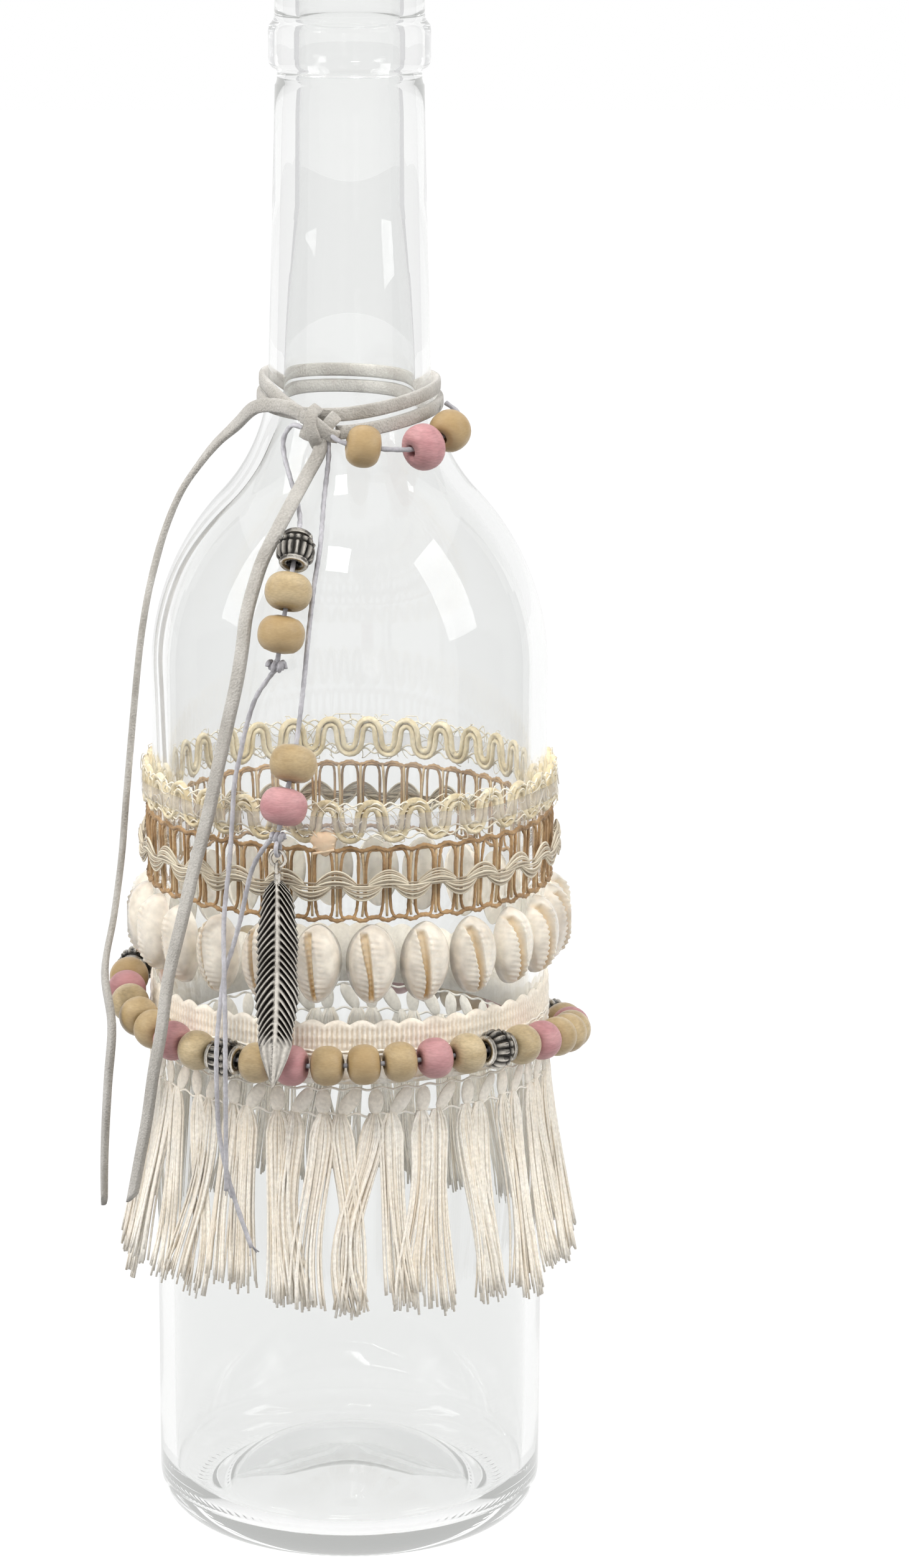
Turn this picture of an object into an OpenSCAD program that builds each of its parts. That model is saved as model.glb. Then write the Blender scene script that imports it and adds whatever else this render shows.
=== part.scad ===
/* [Bottle] */
// Total height of the bottle, from the ring it stands on to the lip
bottle_h = 300; // [285:1:330]
// Outer radius of the straight body
body_r = 37.5; // [36:0.5:39]
// Height at which the straight body ends and the shoulder starts to turn in
shoulder_z = 168.5; // [165:0.5:180]
// Radius of the outward curve of the shoulder
shoulder_curve = 48; // [42:1:54]
// Radius of the inward curve that leads up into the neck
neck_curve = 33; // [30:1:36]
// Outer radius at the foot of the neck
neck_foot_r = 15.1; // [14.6:0.1:15.6]
// Outer radius at the top of the neck
neck_top_r = 13.7; // [13.3:0.1:14.2]
// Thickness of the glass in the body and the shoulder
glass_wall = 3; // [2:0.25:3.5]
// Thickness of the glass in the bottom
glass_floor = 5; // [4:0.5:7]
// Radius of the rounded heel
heel_curve = 9; // [7:0.5:11]
// Height of the dome pushed up under the bottle
punt_h = 9; // [5:1:14]
// Width of the flat ring that the bottle stands on
bearing_w = 1.8; // [1.2:0.2:3]

/* [Mouth] */
// Radius of the bore of the mouth
mouth_r = 9.25; // [8.5:0.05:9.8]
// Length of the straight bore, from the lip down
mouth_len = 45; // [35:1:55]
// Radius of the collar below the lip
collar_r = 14.9; // [14.4:0.1:16]
// Height of the collar
collar_h = 8.3; // [6:0.1:10]
// Distance from the lip down to the top of the collar
collar_drop = 12.4; // [9:0.1:16]
// Width of the groove under the collar
groove_w = 2.8; // [2:0.2:4]
// Depth of the groove under the collar
groove_depth = 0.45; // [0.2:0.05:0.8]
// Radius of the rounded lip
lip_round = 1.6; // [0.8:0.2:2.4]

/* [Trims round the body] */
// Gap between the glass and whatever lies on it
seat_gap = 0.3; // [0.2:0.05:0.4]
// Height of the top of the wavy cord
wave_top = 151.5; // [151:0.5:155]
// Height of the whole wavy cord
wave_h = 8.5; // [6:0.5:8.5]
// Thickness of the wavy cord
wave_cord = 1.9; // [1.4:0.1:2]
// Number of waves round the bottle
wave_count = 30; // [24:1:32]
// Height of the top of the ladder braid
ladder_top = 142.8; // [142:0.2:142.8]
// Height of the ladder braid
ladder_h = 14.8; // [12:0.2:14.8]
// Thickness of the ladder's two rails
rail_cord = 1.3; // [1:0.1:1.4]
// Thickness of the ladder's rungs
rung_cord = 0.9; // [0.6:0.1:1]
// Number of pairs of rungs
rung_pairs = 30; // [24:1:36]
// Height of the loop braid, which lies over the middle of the ladder
loop_h = 7; // [5:0.5:9]
// Thickness of the loop braid
loop_thick = 1.2; // [0.8:0.1:1.3]
// Number of eyelets along the loop braid
loop_count = 40; // [30:1:44]

/* [Shells] */
// Length of a cowrie shell
shell_len = 15; // [12:0.5:15]
// Width of a cowrie shell
shell_w = 9.8; // [8:0.2:10]
// How far a shell stands out from its flat back
shell_depth = 5; // [4:0.2:5.2]
// Height of the middle of the row of shells
shell_z = 120.2; // [120:0.1:120.3]
// Radius of the end of a shell, seen from the front
shell_end = 3.4; // [3:0.1:4]
// Width of the slit along a shell
slit_w = 0.9; // [0.5:0.1:1.4]

/* [Fringe] */
// Height of the foot of the header band
header_z = 97; // [96.5:0.25:97.5]
// Height of the header band, up to its scallops
header_h = 11; // [9:0.5:12]
// Thickness of the header band and its threads
header_thick = 0.8; // [0.5:0.1:0.8]
// Number of scallops along the top of the header
scallop_count = 48; // [40:1:56]
// Height of the open lattice between the header and the tassels
lattice_h = 6.2; // [5:0.2:6.2]
// Number of tassels
tassel_count = 52; // [44:2:56]
// Mean length of a tassel
tassel_len = 38; // [28:1:42]
// Radius of a tassel at its foot
tassel_foot_r = 2.1; // [1.4:0.1:2.2]
// How far the tassels' feet stand out from the glass
tassel_flare = 6; // [4:0.5:6.3]

/* [Ring of beads] */
// Radius of the ring that the beads lie on
ring_r = 42.9; // [42.9:0.1:44]
// Mean height of the ring above the foot of the header band
ring_lift = 4.5; // [4:0.1:4.8]
// How far the ring tips up on the left
ring_tip = 4.3; // [3.5:0.1:4.3]
// How far the ring twists up and down twice in a turn
ring_twist = 3.1; // [2:0.1:3.1]
// Number of beads in the ring, a multiple of eight
ring_count = 40; // [32:8:40]
// Radius of a ring bead
ring_bead_r = 3.85; // [3.2:0.05:3.85]
// Length of a ring bead along the string
ring_bead_len = 6.2; // [5:0.1:6.2]
// Thickness of the string
string_d = 0.9; // [0.6:0.1:1]

/* [Beads on the neck and the drops] */
// Radius of the bore through every bead
bead_bore = 1.2; // [1:0.05:1.3]
// Radius of a large bead
big_bead_r = 4.3; // [3.6:0.1:4.3]
// Length of a large bead
big_bead_len = 6.8; // [5.5:0.1:6.8]
// Radius of a small wooden bead on the neck
small_bead_r = 3.9; // [3.2:0.1:3.9]
// Length of a small wooden bead on the neck
small_bead_len = 6.4; // [5:0.1:6.4]
// Radius of the rounded edge of a bead
bead_round = 2.6; // [1.5:0.1:2.8]
// Thickness of the thin waxed cord
cord_d = 1; // [0.7:0.05:1.1]

/* [Suede lace] */
// Width of the lace
lace_w = 2.6; // [2:0.1:2.6]
// Thickness of the lace
lace_t = 1.3; // [0.9:0.05:1.4]
// Height of the middle of the winding round the neck
tie_z = 221.2; // [221:0.1:222.5]
// Distance between one turn of the lace and the next
lace_pitch = 3.1; // [3.1:0.1:3.4]
// How far the lace dips at the knot
tie_dip = 3; // [2.2:0.1:3.1]
// Radius of the strands of the knot
knot_r = 1.9; // [1.4:0.1:1.9]

/* [Feather charm] */
// Length of the feather's blade
feather_len = 38.5; // [30:0.5:39]
// Width of the feather's blade
feather_w = 8.4; // [6:0.2:9]
// Thickness of the feather's blade
feather_t = 1.2; // [0.8:0.1:1.3]
// Radius of the feather's rib
feather_rib = 0.75; // [0.65:0.05:0.8]
// Lean of the feather as it lies on the ring of beads, in degrees
feather_lean = 5; // [4.5:0.5:8]
// Thickness of the wire of the bail ring and the feather's eye
wire_d = 0.7; // [0.5:0.05:0.7]

/* [Hidden] */
$fn = 96;

// Colours, as red, green and blue
glass_colour = [0.86, 0.9, 0.9, 0.45];
cream_colour = [0.84, 0.77, 0.62];
jute_colour = [0.62, 0.47, 0.31];
taupe_colour = [0.68, 0.58, 0.48];
shell_colour = [0.92, 0.88, 0.82];
cotton_colour = [0.88, 0.84, 0.78];
wood_colour = [0.78, 0.68, 0.5];
pink_colour = [0.8, 0.6, 0.6];
metal_colour = [0.45, 0.44, 0.43];
suede_colour = [0.74, 0.71, 0.66];
cord_colour = [0.8, 0.79, 0.79];

// Centre of the shoulder's outward curve
shoulder_c = [body_r - shoulder_curve, shoulder_z];
// Centre of the inward curve, placed so that the two curves meet smoothly
neck_c_r = neck_foot_r + neck_curve;
curve_sum = shoulder_curve + neck_curve;
neck_c = [neck_c_r, shoulder_z + sqrt(curve_sum * curve_sum - pow(neck_c_r - shoulder_c[0], 2))];
// Angle at which the two curves meet
meet_a = atan2(neck_c[1] - shoulder_c[1], neck_c[0] - shoulder_c[0]);
// Heights of the collar and the groove
collar_top = bottle_h - collar_drop;
collar_z = collar_top - collar_h;
groove_z = collar_z - groove_w;
// Radii where the bottle stands
bearing_out = body_r - heel_curve;
bearing_in = bearing_out - bearing_w;
// Radius of the sphere that makes the dome under the bottle
punt_sphere = (bearing_in * bearing_in + punt_h * punt_h) / (2 * punt_h);
inner_r = body_r - glass_wall;
inner_heel = 7;
floor_z = glass_floor + punt_h;

// Where the pieces on the body lie
seat_r = body_r + seat_gap;
rail_r = seat_r + rail_cord / 2;
loop_r = seat_r + rail_cord + seat_gap;
wave_r = seat_r + wave_cord / 2;
wave_z = wave_top - wave_h / 2;
wave_swing = (wave_h - wave_cord) / 2;
join_turn = -97;
join_z = ladder_top + 1;
join_r = 2.2;
shell_count = 24;
shell_turn = -84;
header_r = seat_r + header_thick;
thread_r = header_thick / 2;
thread_ring = seat_r + thread_r;
lattice_z = header_z - lattice_h;
tassel_top = lattice_z - 0.7;
tassel_top_r = 0.45;

// Height of the bead ring above or below its mean, at angle a
ring_z = header_z + ring_lift;
function ring_rise(a) =
    -ring_tip * (cos(a) + 0.28 * sin(a)) - ring_twist * (sin(2 * a) - 0.13 * cos(2 * a));
ring_step = 360 / ring_count;
ring_turn = 3.5;
// One repeat of the ring's pattern: pink, wood, metal, wood, pink, then three of wood
ring_pattern = ["p", "w", "m", "w", "p", "w", "w", "w"];

// Radius of the glass at height z, in the curve that leads into the neck
function neck_glass_r(z) = neck_c[0] - sqrt(neck_curve * neck_curve - pow(neck_c[1] - z, 2));

// Middle of the lace's knot and the angle that it faces
knot_at = [-5.6, -18.3, 216];
knot_turn = -107;

// Routes of the cords, point by point, from the knot outwards
tail_left_route = [
    [-7.5, -17.5, 217.5], [-10, -16, 219], [-13.5, -13, 219.5], [-17.5, -8.5, 218.5],
    [-21, -2, 214.5], [-25, 0.5, 210.5], [-28.5, 2, 206], [-31.5, 2.5, 201.5],
    [-34, 2.5, 196], [-36, 2, 190], [-38, 0, 182], [-39.5, -1, 173],
    [-40.5, -1.5, 164], [-41.5, -1.5, 154], [-42.5, -2, 143.5], [-43.5, -3, 132],
    [-45, -5.5, 121], [-46.5, -12, 112], [-45, -18, 103], [-46, -16.5, 91],
    [-47, -13, 77], [-47.5, -9, 63.5]
];
tail_front_route = [
    [-5.5, -19.5, 214.5], [-5.5, -20, 212], [-7.8, -22.5, 208], [-10.5, -26, 203.5],
    [-13.3, -28.2, 198.5], [-15.8, -29, 193.5], [-17.5, -30.3, 188.5], [-18.8, -32, 183.5],
    [-19.5, -33, 178], [-20.5, -33.5, 172], [-22.5, -33, 163], [-24.5, -33.5, 154],
    [-26, -33.5, 147], [-28.5, -33, 137.5], [-31, -33.5, 127], [-33.5, -33, 116.5],
    [-35, -33.5, 106], [-36.5, -32.5, 98], [-38, -30.5, 88], [-39.5, -28.5, 80],
    [-41.5, -25.5, 69.5]
];
neck_cord_route = [
    [-3.2, -20.3, 214.9], [-1.3, -22, 214], [2.5, -22.3, 213.3], [8, -21.4, 212.6],
    [13.5, -18.2, 212.6], [18.4, -12.6, 214.8], [20.2, -8, 217], [17.8, -5.5, 219]
];
drop_1_route = [
    [-8.5, -17.5, 216], [-10.5, -16.5, 216.3], [-12, -15.5, 214], [-12, -16, 211],
    [-11, -18.5, 207.5], [-9.8, -22, 204], [-9, -26.5, 200.5], [-9.7, -32.3, 196],
    [-11, -36.6, 189.2], [-12.3, -38.8, 181.8], [-13.2, -38.8, 176], [-14.5, -36, 173.5],
    [-17, -35, 169.5], [-18.8, -34.5, 164], [-20, -34.5, 158.5], [-21, -35, 153.5],
    [-21.5, -35.5, 146], [-22, -36.5, 139], [-23, -38, 129], [-23, -40.5, 119.5],
    [-22.8, -43.2, 110.5], [-22.8, -44, 104], [-22.8, -44, 97], [-22.8, -44, 88],
    [-22.8, -44, 78.5]
];
drop_2_route = [
    [-4, -19, 214.5], [-3.8, -19.5, 211.5], [-4.2, -21.3, 207.5], [-4.7, -24, 203.5],
    [-5.3, -29.5, 196.5], [-6.4, -33.3, 189.8], [-7.4, -36, 181.5], [-8.3, -37.8, 172.5],
    [-9.2, -38.8, 165], [-10.2, -41.2, 158.6], [-11.9, -43.6, 151.2], [-12.8, -43.8, 146.8]
];
drop_2_tail_route = [
    [-14, -43.2, 145.3], [-16, -42, 142.5], [-18, -40.5, 138], [-20, -39.5, 129],
    [-21.5, -39, 123.5], [-23, -38.5, 118.5], [-24, -40.5, 111], [-24.5, -41.3, 104.5],
    [-24.5, -41.2, 97.5], [-24, -41.5, 88], [-21.8, -42.5, 78], [-18.2, -44.2, 67.5]
];
// Places along the routes where beads and knots lie, counted from 0
neck_bead_1_i = 2;
neck_bead_2_i = 4;
neck_bead_3_i = 5;
drop_1_metal_i = 7;
drop_1_wood_1_i = 8;
drop_1_wood_2_i = 9;
drop_1_knot_i = 10;
drop_2_wood_i = 9;
drop_2_pink_i = 10;
metal_bead_r = 3.6;
metal_bead_len = 6.6;
cord_knot_r = 1.3;

// Where the charm hangs: middle of the cord's loop, and the angle that it faces
charm_at = [-13, -43.6, 143.4];
charm_turn = atan2(charm_at[1], charm_at[0]);
loop_bend = 1.3;
loop_cord = 0.8;
bail_bend = 1.45;
eye_bend = 1.1;
link_gap = 0.15;
// Heights of the linked rings, measured down from the loop's middle
bail_top = loop_bend - loop_cord / 2 - wire_d / 2 - link_gap;
bail_mid = bail_top + bail_bend;
bail_low = bail_mid + bail_bend;
eye_mid = bail_low + eye_bend - wire_d - link_gap;
blade_top = eye_mid + eye_bend + 1;

// Points of an arc round c, from angle a to angle b
function arc(c, r, a, b, n) = [for (i = [0:n]) c + r * [cos(a + (b - a) * i / n), sin(a + (b - a) * i / n)]];
function unit(v) = v / norm(v);
function flat_out(p) = unit([p[0], p[1], 0]);

// A smooth curve through the points p, with k steps between each point and the next
function at(p, i) = p[max(0, min(len(p) - 1, i))];
function between(a, b, c, d, t) =
    0.5 * (2 * b + (c - a) * t + (2 * a - 5 * b + 4 * c - d) * t * t + (3 * b - a - 3 * c + d) * t * t * t);
function smooth(p, k) = concat(
    [for (i = [0:len(p) - 2], s = [0:k - 1]) between(at(p, i - 1), at(p, i), at(p, i + 1), at(p, i + 2), s / k)],
    [p[len(p) - 1]]
);

// Direction of a line of points at point i, where a closed line runs on past its ends
function heading(p, i, closed) = closed
    ? unit(p[(i + 1) % len(p)] - p[(i + len(p) - 1) % len(p)])
    : unit(at(p, i + 1) - at(p, i - 1));
// One ring of a tube of width w and thickness t, turned so that it lies flat on the bottle
function tube_ring(p, i, w, t, sides, closed) =
    let (
        dir = heading(p, i, closed),
        up = flat_out(p[i]),
        out = unit(up - (up * dir) * dir),
        side = cross(dir, out)
    )
    [for (s = [0:sides - 1]) p[i] + out * t / 2 * cos(360 * s / sides) + side * w / 2 * sin(360 * s / sides)];

module tube(p, w, t, sides, closed = false) {
    n = len(p);
    last = closed ? n - 1 : n - 2;
    points = [for (i = [0:n - 1]) each tube_ring(p, i, w, t, sides, closed)];
    walls = [
        for (i = [0:last], s = [0:sides - 1])
            let (
                j = (i + 1) % n,
                a = i * sides + s,
                b = i * sides + (s + 1) % sides,
                c = j * sides + (s + 1) % sides,
                d = j * sides + s
            )
            each [[a, b, c], [a, c, d]]
    ];
    caps = closed ? [] : [
        [for (s = [sides - 1:-1:0]) s],
        [for (s = [0:sides - 1]) (n - 1) * sides + s]
    ];
    polyhedron(points, concat(walls, caps), convexity = 10);
}

// Moves its children to p and turns their Z axis to dir
module along(p, dir) {
    translate(p)
        rotate([0, acos(dir[2] / norm(dir)), atan2(dir[1], dir[0])])
            children();
}

// A straight strand with round ends, turned round its own axis
module strand(p, q, r) {
    length = norm(q - p);
    along(p, q - p)
        rotate_extrude()
            intersection() {
                union() {
                    circle(r = r);
                    translate([0, length])
                        circle(r = r);
                    square([r, length]);
                }
                translate([0, -r])
                    square([r, length + 2 * r]);
            }
}

// A bead round the Z axis, with rounded edges and a bore
module bead(r, length, bore, edge) {
    rotate_extrude()
        difference() {
            union() {
                translate([r - edge, length / 2 - edge])
                    circle(r = edge);
                translate([r - edge, edge - length / 2])
                    circle(r = edge);
                translate([r - edge, edge - length / 2])
                    square([edge, length - 2 * edge]);
                translate([0, -length / 2])
                    square([r - edge, length]);
            }
            translate([-r, -length])
                square([r + bore, 2 * length]);
        }
}

// A bead threaded on a route at its point i
module threaded_bead(route, i, r, length, edge) {
    along(route[i], route[i + 1] - route[i - 1])
        bead(r, length, bead_bore, edge);
}

// A metal bead: a barrel between two rims
module metal_bead(r, length, bore) {
    rim = length * 0.2;
    difference() {
        union() {
            rotate_extrude()
                intersection() {
                    translate([0, -length / 2])
                        square([r, length]);
                    circle(r = r);
                }
            for (side = [-1, 1])
                translate([0, 0, side * length * 0.36 - rim / 2])
                    cylinder(r = r * 0.86, h = rim);
        }
        translate([0, 0, -length])
            cylinder(r = bore, h = 2 * length);
    }
}

module bottle() {
    steps = 14;
    outer = concat(
        [[bearing_in, 0], [bearing_out, 0]],
        arc([bearing_out, heel_curve], heel_curve, -75, 0, 8),
        arc(shoulder_c, shoulder_curve, 0, meet_a, steps),
        arc(neck_c, neck_curve, meet_a + 180 - (meet_a / steps), 180, steps),
        [[neck_top_r, groove_z]]
    );
    inner = concat(
        arc([inner_r - inner_heel, glass_floor + inner_heel], inner_heel, -75, 0, 6),
        arc(shoulder_c, shoulder_curve - glass_wall, 0, meet_a, steps),
        arc(neck_c, neck_curve + glass_wall, meet_a + 180 - (meet_a / steps), 180, steps)
    );
    color(glass_colour)
        rotate_extrude()
            difference() {
                union() {
                    polygon(concat([[0, 0]], outer, [[0, groove_z]]));
                    translate([0, groove_z])
                        square([neck_top_r - groove_depth, groove_w]);
                    translate([0, collar_z])
                        square([collar_r, collar_h]);
                    translate([0, collar_top])
                        square([neck_top_r, collar_drop - lip_round]);
                    translate([0, bottle_h - lip_round - 0.01])
                        square([neck_top_r - lip_round, lip_round + 0.01]);
                    translate([neck_top_r - lip_round, bottle_h - lip_round])
                        circle(r = lip_round);
                }
                polygon(concat(
                    [[-1, floor_z], [inner_r * 0.35, floor_z - 1], [inner_r * 0.62, glass_floor + punt_h * 0.35]],
                    inner,
                    [[mouth_r, bottle_h - mouth_len], [mouth_r, bottle_h + 1], [-1, bottle_h + 1]]
                ));
                intersection() {
                    translate([0, punt_h - punt_sphere])
                        circle(r = punt_sphere);
                    translate([-1, -1])
                        square([bearing_in + 1, punt_h + 2]);
                }
                translate([-bottle_h, -1])
                    square([bottle_h, 2 * bottle_h]);
            }
}

module wave_braid() {
    per_wave = 8;
    steps = wave_count * per_wave;
    path = [
        for (i = [0:steps - 1])
            let (a = 360 * i / steps)
            [wave_r * cos(a), wave_r * sin(a), wave_z + wave_swing * cos(a * wave_count)]
    ];
    color(cream_colour)
        tube(path, wave_cord, wave_cord, 4, closed = true);
}

module ladder_braid() {
    low = ladder_top - ladder_h + rail_cord / 2;
    high = ladder_top - rail_cord / 2;
    color(jute_colour)
        union() {
            for (z = [low, high])
                translate([0, 0, z])
                    rotate_extrude()
                        translate([rail_r, 0])
                            circle(d = rail_cord);
            for (i = [0:rung_pairs - 1], side = [-1, 1])
                rotate(360 / rung_pairs * (i + 0.14 * side))
                    translate([rail_r, 0, low])
                        cylinder(d = rung_cord, h = high - low, $fn = 24);
        }
}

module loop_braid() {
    mid = ladder_top - ladder_h / 2;
    color(taupe_colour)
        difference() {
            translate([0, 0, mid - loop_h / 2])
                cylinder(r = loop_r + loop_thick, h = loop_h);
            translate([0, 0, mid - loop_h])
                cylinder(r = loop_r, h = 2 * loop_h);
            for (i = [0:loop_count - 1])
                rotate(360 / loop_count * i)
                    translate([loop_r - 1, 0, mid + (i % 2 - 0.5) * loop_h * 0.3])
                        rotate([0, 90, 0])
                            cylinder(r = loop_h * 0.16, h = loop_thick + 2, $fn = 24);
        }
}

// The blob of glue where the ends of the braids meet
module braid_join() {
    color(jute_colour)
        rotate(join_turn)
            translate([seat_r, 0, join_z])
                rotate([0, 90, 0])
                    rotate_extrude()
                        intersection() {
                            translate([0, -0.4])
                                circle(r = join_r);
                            square([join_r, join_r]);
                        }
}

// Shell number i of the row, a dome with a flat back and a slit
module shell(i) {
    dome_r = (shell_len * shell_len + shell_w * shell_w) / (4 * shell_w);
    color(shell_colour)
        rotate(shell_turn + 360 / shell_count * (i - 1))
            translate([seat_r, 0, shell_z])
                intersection() {
                    difference() {
                        rotate_extrude()
                            intersection() {
                                translate([shell_w / 2 - dome_r * 1.15, 0])
                                    circle(r = dome_r * 1.15);
                                translate([0, -shell_len / 2])
                                    square([shell_w, shell_len]);
                                translate([0, shell_len / 2 - shell_end * 2.2])
                                    circle(r = shell_end * 2.2);
                            }
                        translate([shell_depth - 1.2, -slit_w / 2, -shell_len * 0.4])
                            cube([3, slit_w, shell_len * 0.8]);
                    }
                    translate([0, -shell_w, -shell_len])
                        cube([shell_depth, 2 * shell_w, 2 * shell_len]);
                }
}

module fringe_header() {
    scallop_z = header_z + header_h;
    scallop_r = PI * header_r / scallop_count;
    color(cotton_colour)
        union() {
            difference() {
                intersection() {
                    translate([0, 0, header_z])
                        cylinder(r = header_r, h = header_h + 2 * scallop_r);
                    union() {
                        translate([0, 0, header_z])
                            cylinder(r = header_r + 1, h = header_h);
                        for (i = [0:scallop_count - 1])
                            rotate(360 / scallop_count * i)
                                translate([seat_r - 1, 0, scallop_z])
                                    rotate([0, 90, 0])
                                        cylinder(r = scallop_r * 0.95, h = 3, $fn = 24);
                    }
                }
                translate([0, 0, header_z - 1])
                    cylinder(r = seat_r, h = header_h + 20);
            }
            translate([0, 0, lattice_z])
                rotate_extrude()
                    translate([thread_ring, 0])
                        circle(r = thread_r, $fn = 24);
            for (i = [0:tassel_count - 1])
                rotate(360 / tassel_count * (i + 0.5))
                    translate([thread_ring, 0, lattice_z])
                        cylinder(r = thread_r * 0.75, h = lattice_h + 0.5, $fn = 24);
        }
}

module fringe_tassels() {
    color(cotton_colour)
        for (i = [0:tassel_count - 1]) {
            a = 360 / tassel_count * (i + 0.5);
            drop = tassel_len + 2.5 * sin(3 * a + 40) + 1.5 * cos(7 * a);
            out = seat_r + tassel_flare + 0.3 * sin(5 * a);
            top = [seat_r + tassel_top_r, 0, tassel_top];
            foot = [out, 0, tassel_top - drop];
            rotate(a)
                along(top, foot - top)
                    cylinder(r1 = tassel_top_r, r2 = tassel_foot_r, h = norm(foot - top), $fn = 24);
        }
}

// Point of the ring of beads at angle a
function ring_point(a) = [ring_r * cos(a), ring_r * sin(a), ring_z + ring_rise(a)];

module ring_string() {
    steps = 80;
    color(cord_colour)
        tube([for (i = [0:steps - 1]) ring_point(360 * i / steps)], string_d, string_d, 6, closed = true);
}

// All the beads of one kind in the ring
module ring_beads(kind) {
    for (i = [0:ring_count - 1])
        if (ring_pattern[i % len(ring_pattern)] == kind) {
            a = ring_turn + ring_step * i;
            along(ring_point(a), ring_point(a + 1) - ring_point(a - 1))
                if (kind == "m")
                    metal_bead(ring_bead_r, ring_bead_len, bead_bore);
                else
                    bead(ring_bead_r, ring_bead_len, bead_bore, bead_round);
        }
}

module ring_beads_wood() {
    color(wood_colour)
        ring_beads("w");
}

module ring_beads_pink() {
    color(pink_colour)
        ring_beads("p");
}

module ring_beads_metal() {
    color(metal_colour)
        ring_beads("m");
}

// The winding round the neck: two turns of lace, both ends going into the knot
lace_turns = 2;
lace_rings = 24;
knot_clear = 9;
lace_steps = lace_turns * lace_rings;
function lace_point(i) =
    let (
        u = i / lace_steps,
        a = knot_turn + knot_clear + (360 * lace_turns - 2 * knot_clear) * u,
        dip = tie_dip * pow((1 + cos(a - knot_turn)) / 2, 3),
        z = tie_z + (u - 0.5) * lace_pitch * lace_turns - dip,
        r = neck_glass_r(z - lace_w / 2) + seat_gap + 0.1 + lace_t / 2
    )
    [r * cos(a), r * sin(a), z];
lace_path = [for (i = [0:lace_steps]) lace_point(i)];
lace_sides = 6;
// Least distance between the corners of one turn and the corners of the next
lace_gap = min([
    for (i = [0:lace_steps - lace_rings / 2], j = [i + lace_rings / 2:lace_steps])
        for (p = tube_ring(lace_path, i, lace_w, lace_t, lace_sides, false))
            for (q = tube_ring(lace_path, j, lace_w, lace_t, lace_sides, false))
                norm(p - q)
]);

module neck_lace() {
    echo(lace_gap = lace_gap);
    color(suede_colour)
        tube(lace_path, lace_w, lace_t, lace_sides);
}

module lace_knot() {
    color(suede_colour)
        translate(knot_at)
            rotate(knot_turn + 90) {
                strand([-2.6, 0, 1.2], [2.6, 0, -0.8], knot_r);
                strand([0.2, -0.6, 3.1], [-0.2, -1, -2.4], knot_r * 0.95);
            }
}

module lace_tail_left() {
    color(suede_colour)
        tube(smooth(tail_left_route, 2), lace_w, lace_t, 8);
}

module lace_tail_front() {
    color(suede_colour)
        tube(smooth(tail_front_route, 2), lace_w, lace_t, 8);
}

module neck_cord() {
    color(cord_colour)
        tube(smooth(neck_cord_route, 3), cord_d, cord_d, 8);
}

module neck_bead_wood_1() {
    color(wood_colour)
        threaded_bead(neck_cord_route, neck_bead_1_i, small_bead_r, small_bead_len, bead_round);
}

module neck_bead_pink() {
    color(pink_colour)
        threaded_bead(neck_cord_route, neck_bead_2_i, big_bead_r, small_bead_len, bead_round);
}

module neck_bead_wood_2() {
    color(wood_colour)
        threaded_bead(neck_cord_route, neck_bead_3_i, small_bead_r, small_bead_len, bead_round);
}

module drop_1_cord() {
    color(cord_colour)
        tube(smooth(drop_1_route, 3), cord_d, cord_d, 8);
}

module drop_1_bead_metal() {
    p = drop_1_route;
    i = drop_1_metal_i;
    color(metal_colour)
        along(p[i], p[i + 1] - p[i - 1])
            metal_bead(metal_bead_r, metal_bead_len, bead_bore);
}

module drop_1_bead_wood_1() {
    color(wood_colour)
        threaded_bead(drop_1_route, drop_1_wood_1_i, big_bead_r, big_bead_len, bead_round);
}

module drop_1_bead_wood_2() {
    color(wood_colour)
        threaded_bead(drop_1_route, drop_1_wood_2_i, big_bead_r, big_bead_len, bead_round);
}

module drop_1_knot() {
    color(cord_colour)
        translate(drop_1_route[drop_1_knot_i])
            rotate(knot_turn + 90)
                strand([-0.8, 0, 0.3], [0.8, 0, -0.3], cord_knot_r);
}

module drop_2_cord() {
    color(cord_colour)
        tube(smooth(drop_2_route, 3), cord_d, cord_d, 8);
}

module drop_2_bead_wood() {
    color(wood_colour)
        threaded_bead(drop_2_route, drop_2_wood_i, big_bead_r, big_bead_len, bead_round);
}

module drop_2_bead_pink() {
    color(pink_colour)
        threaded_bead(drop_2_route, drop_2_pink_i, big_bead_r, big_bead_len, bead_round);
}

// The knot above the charm and the small loop of cord that the bail ring hangs on
module drop_2_knot() {
    color(cord_colour)
        translate(charm_at)
            rotate(charm_turn + 90) {
                translate([0, 0, loop_bend + cord_knot_r * 0.6])
                    sphere(r = cord_knot_r);
                rotate([0, 90, 0])
                    rotate_extrude()
                        translate([loop_bend, 0])
                            circle(d = loop_cord);
            }
}

module drop_2_tail() {
    color(cord_colour)
        tube(smooth(drop_2_tail_route, 3), cord_d, cord_d, 8);
}

module bail_ring() {
    color(metal_colour)
        translate(charm_at)
            rotate(charm_turn + 90)
                translate([0, 0, -bail_mid])
                    rotate([90, 0, 0])
                        rotate_extrude()
                            translate([bail_bend, 0])
                                circle(d = wire_d);
}

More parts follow.
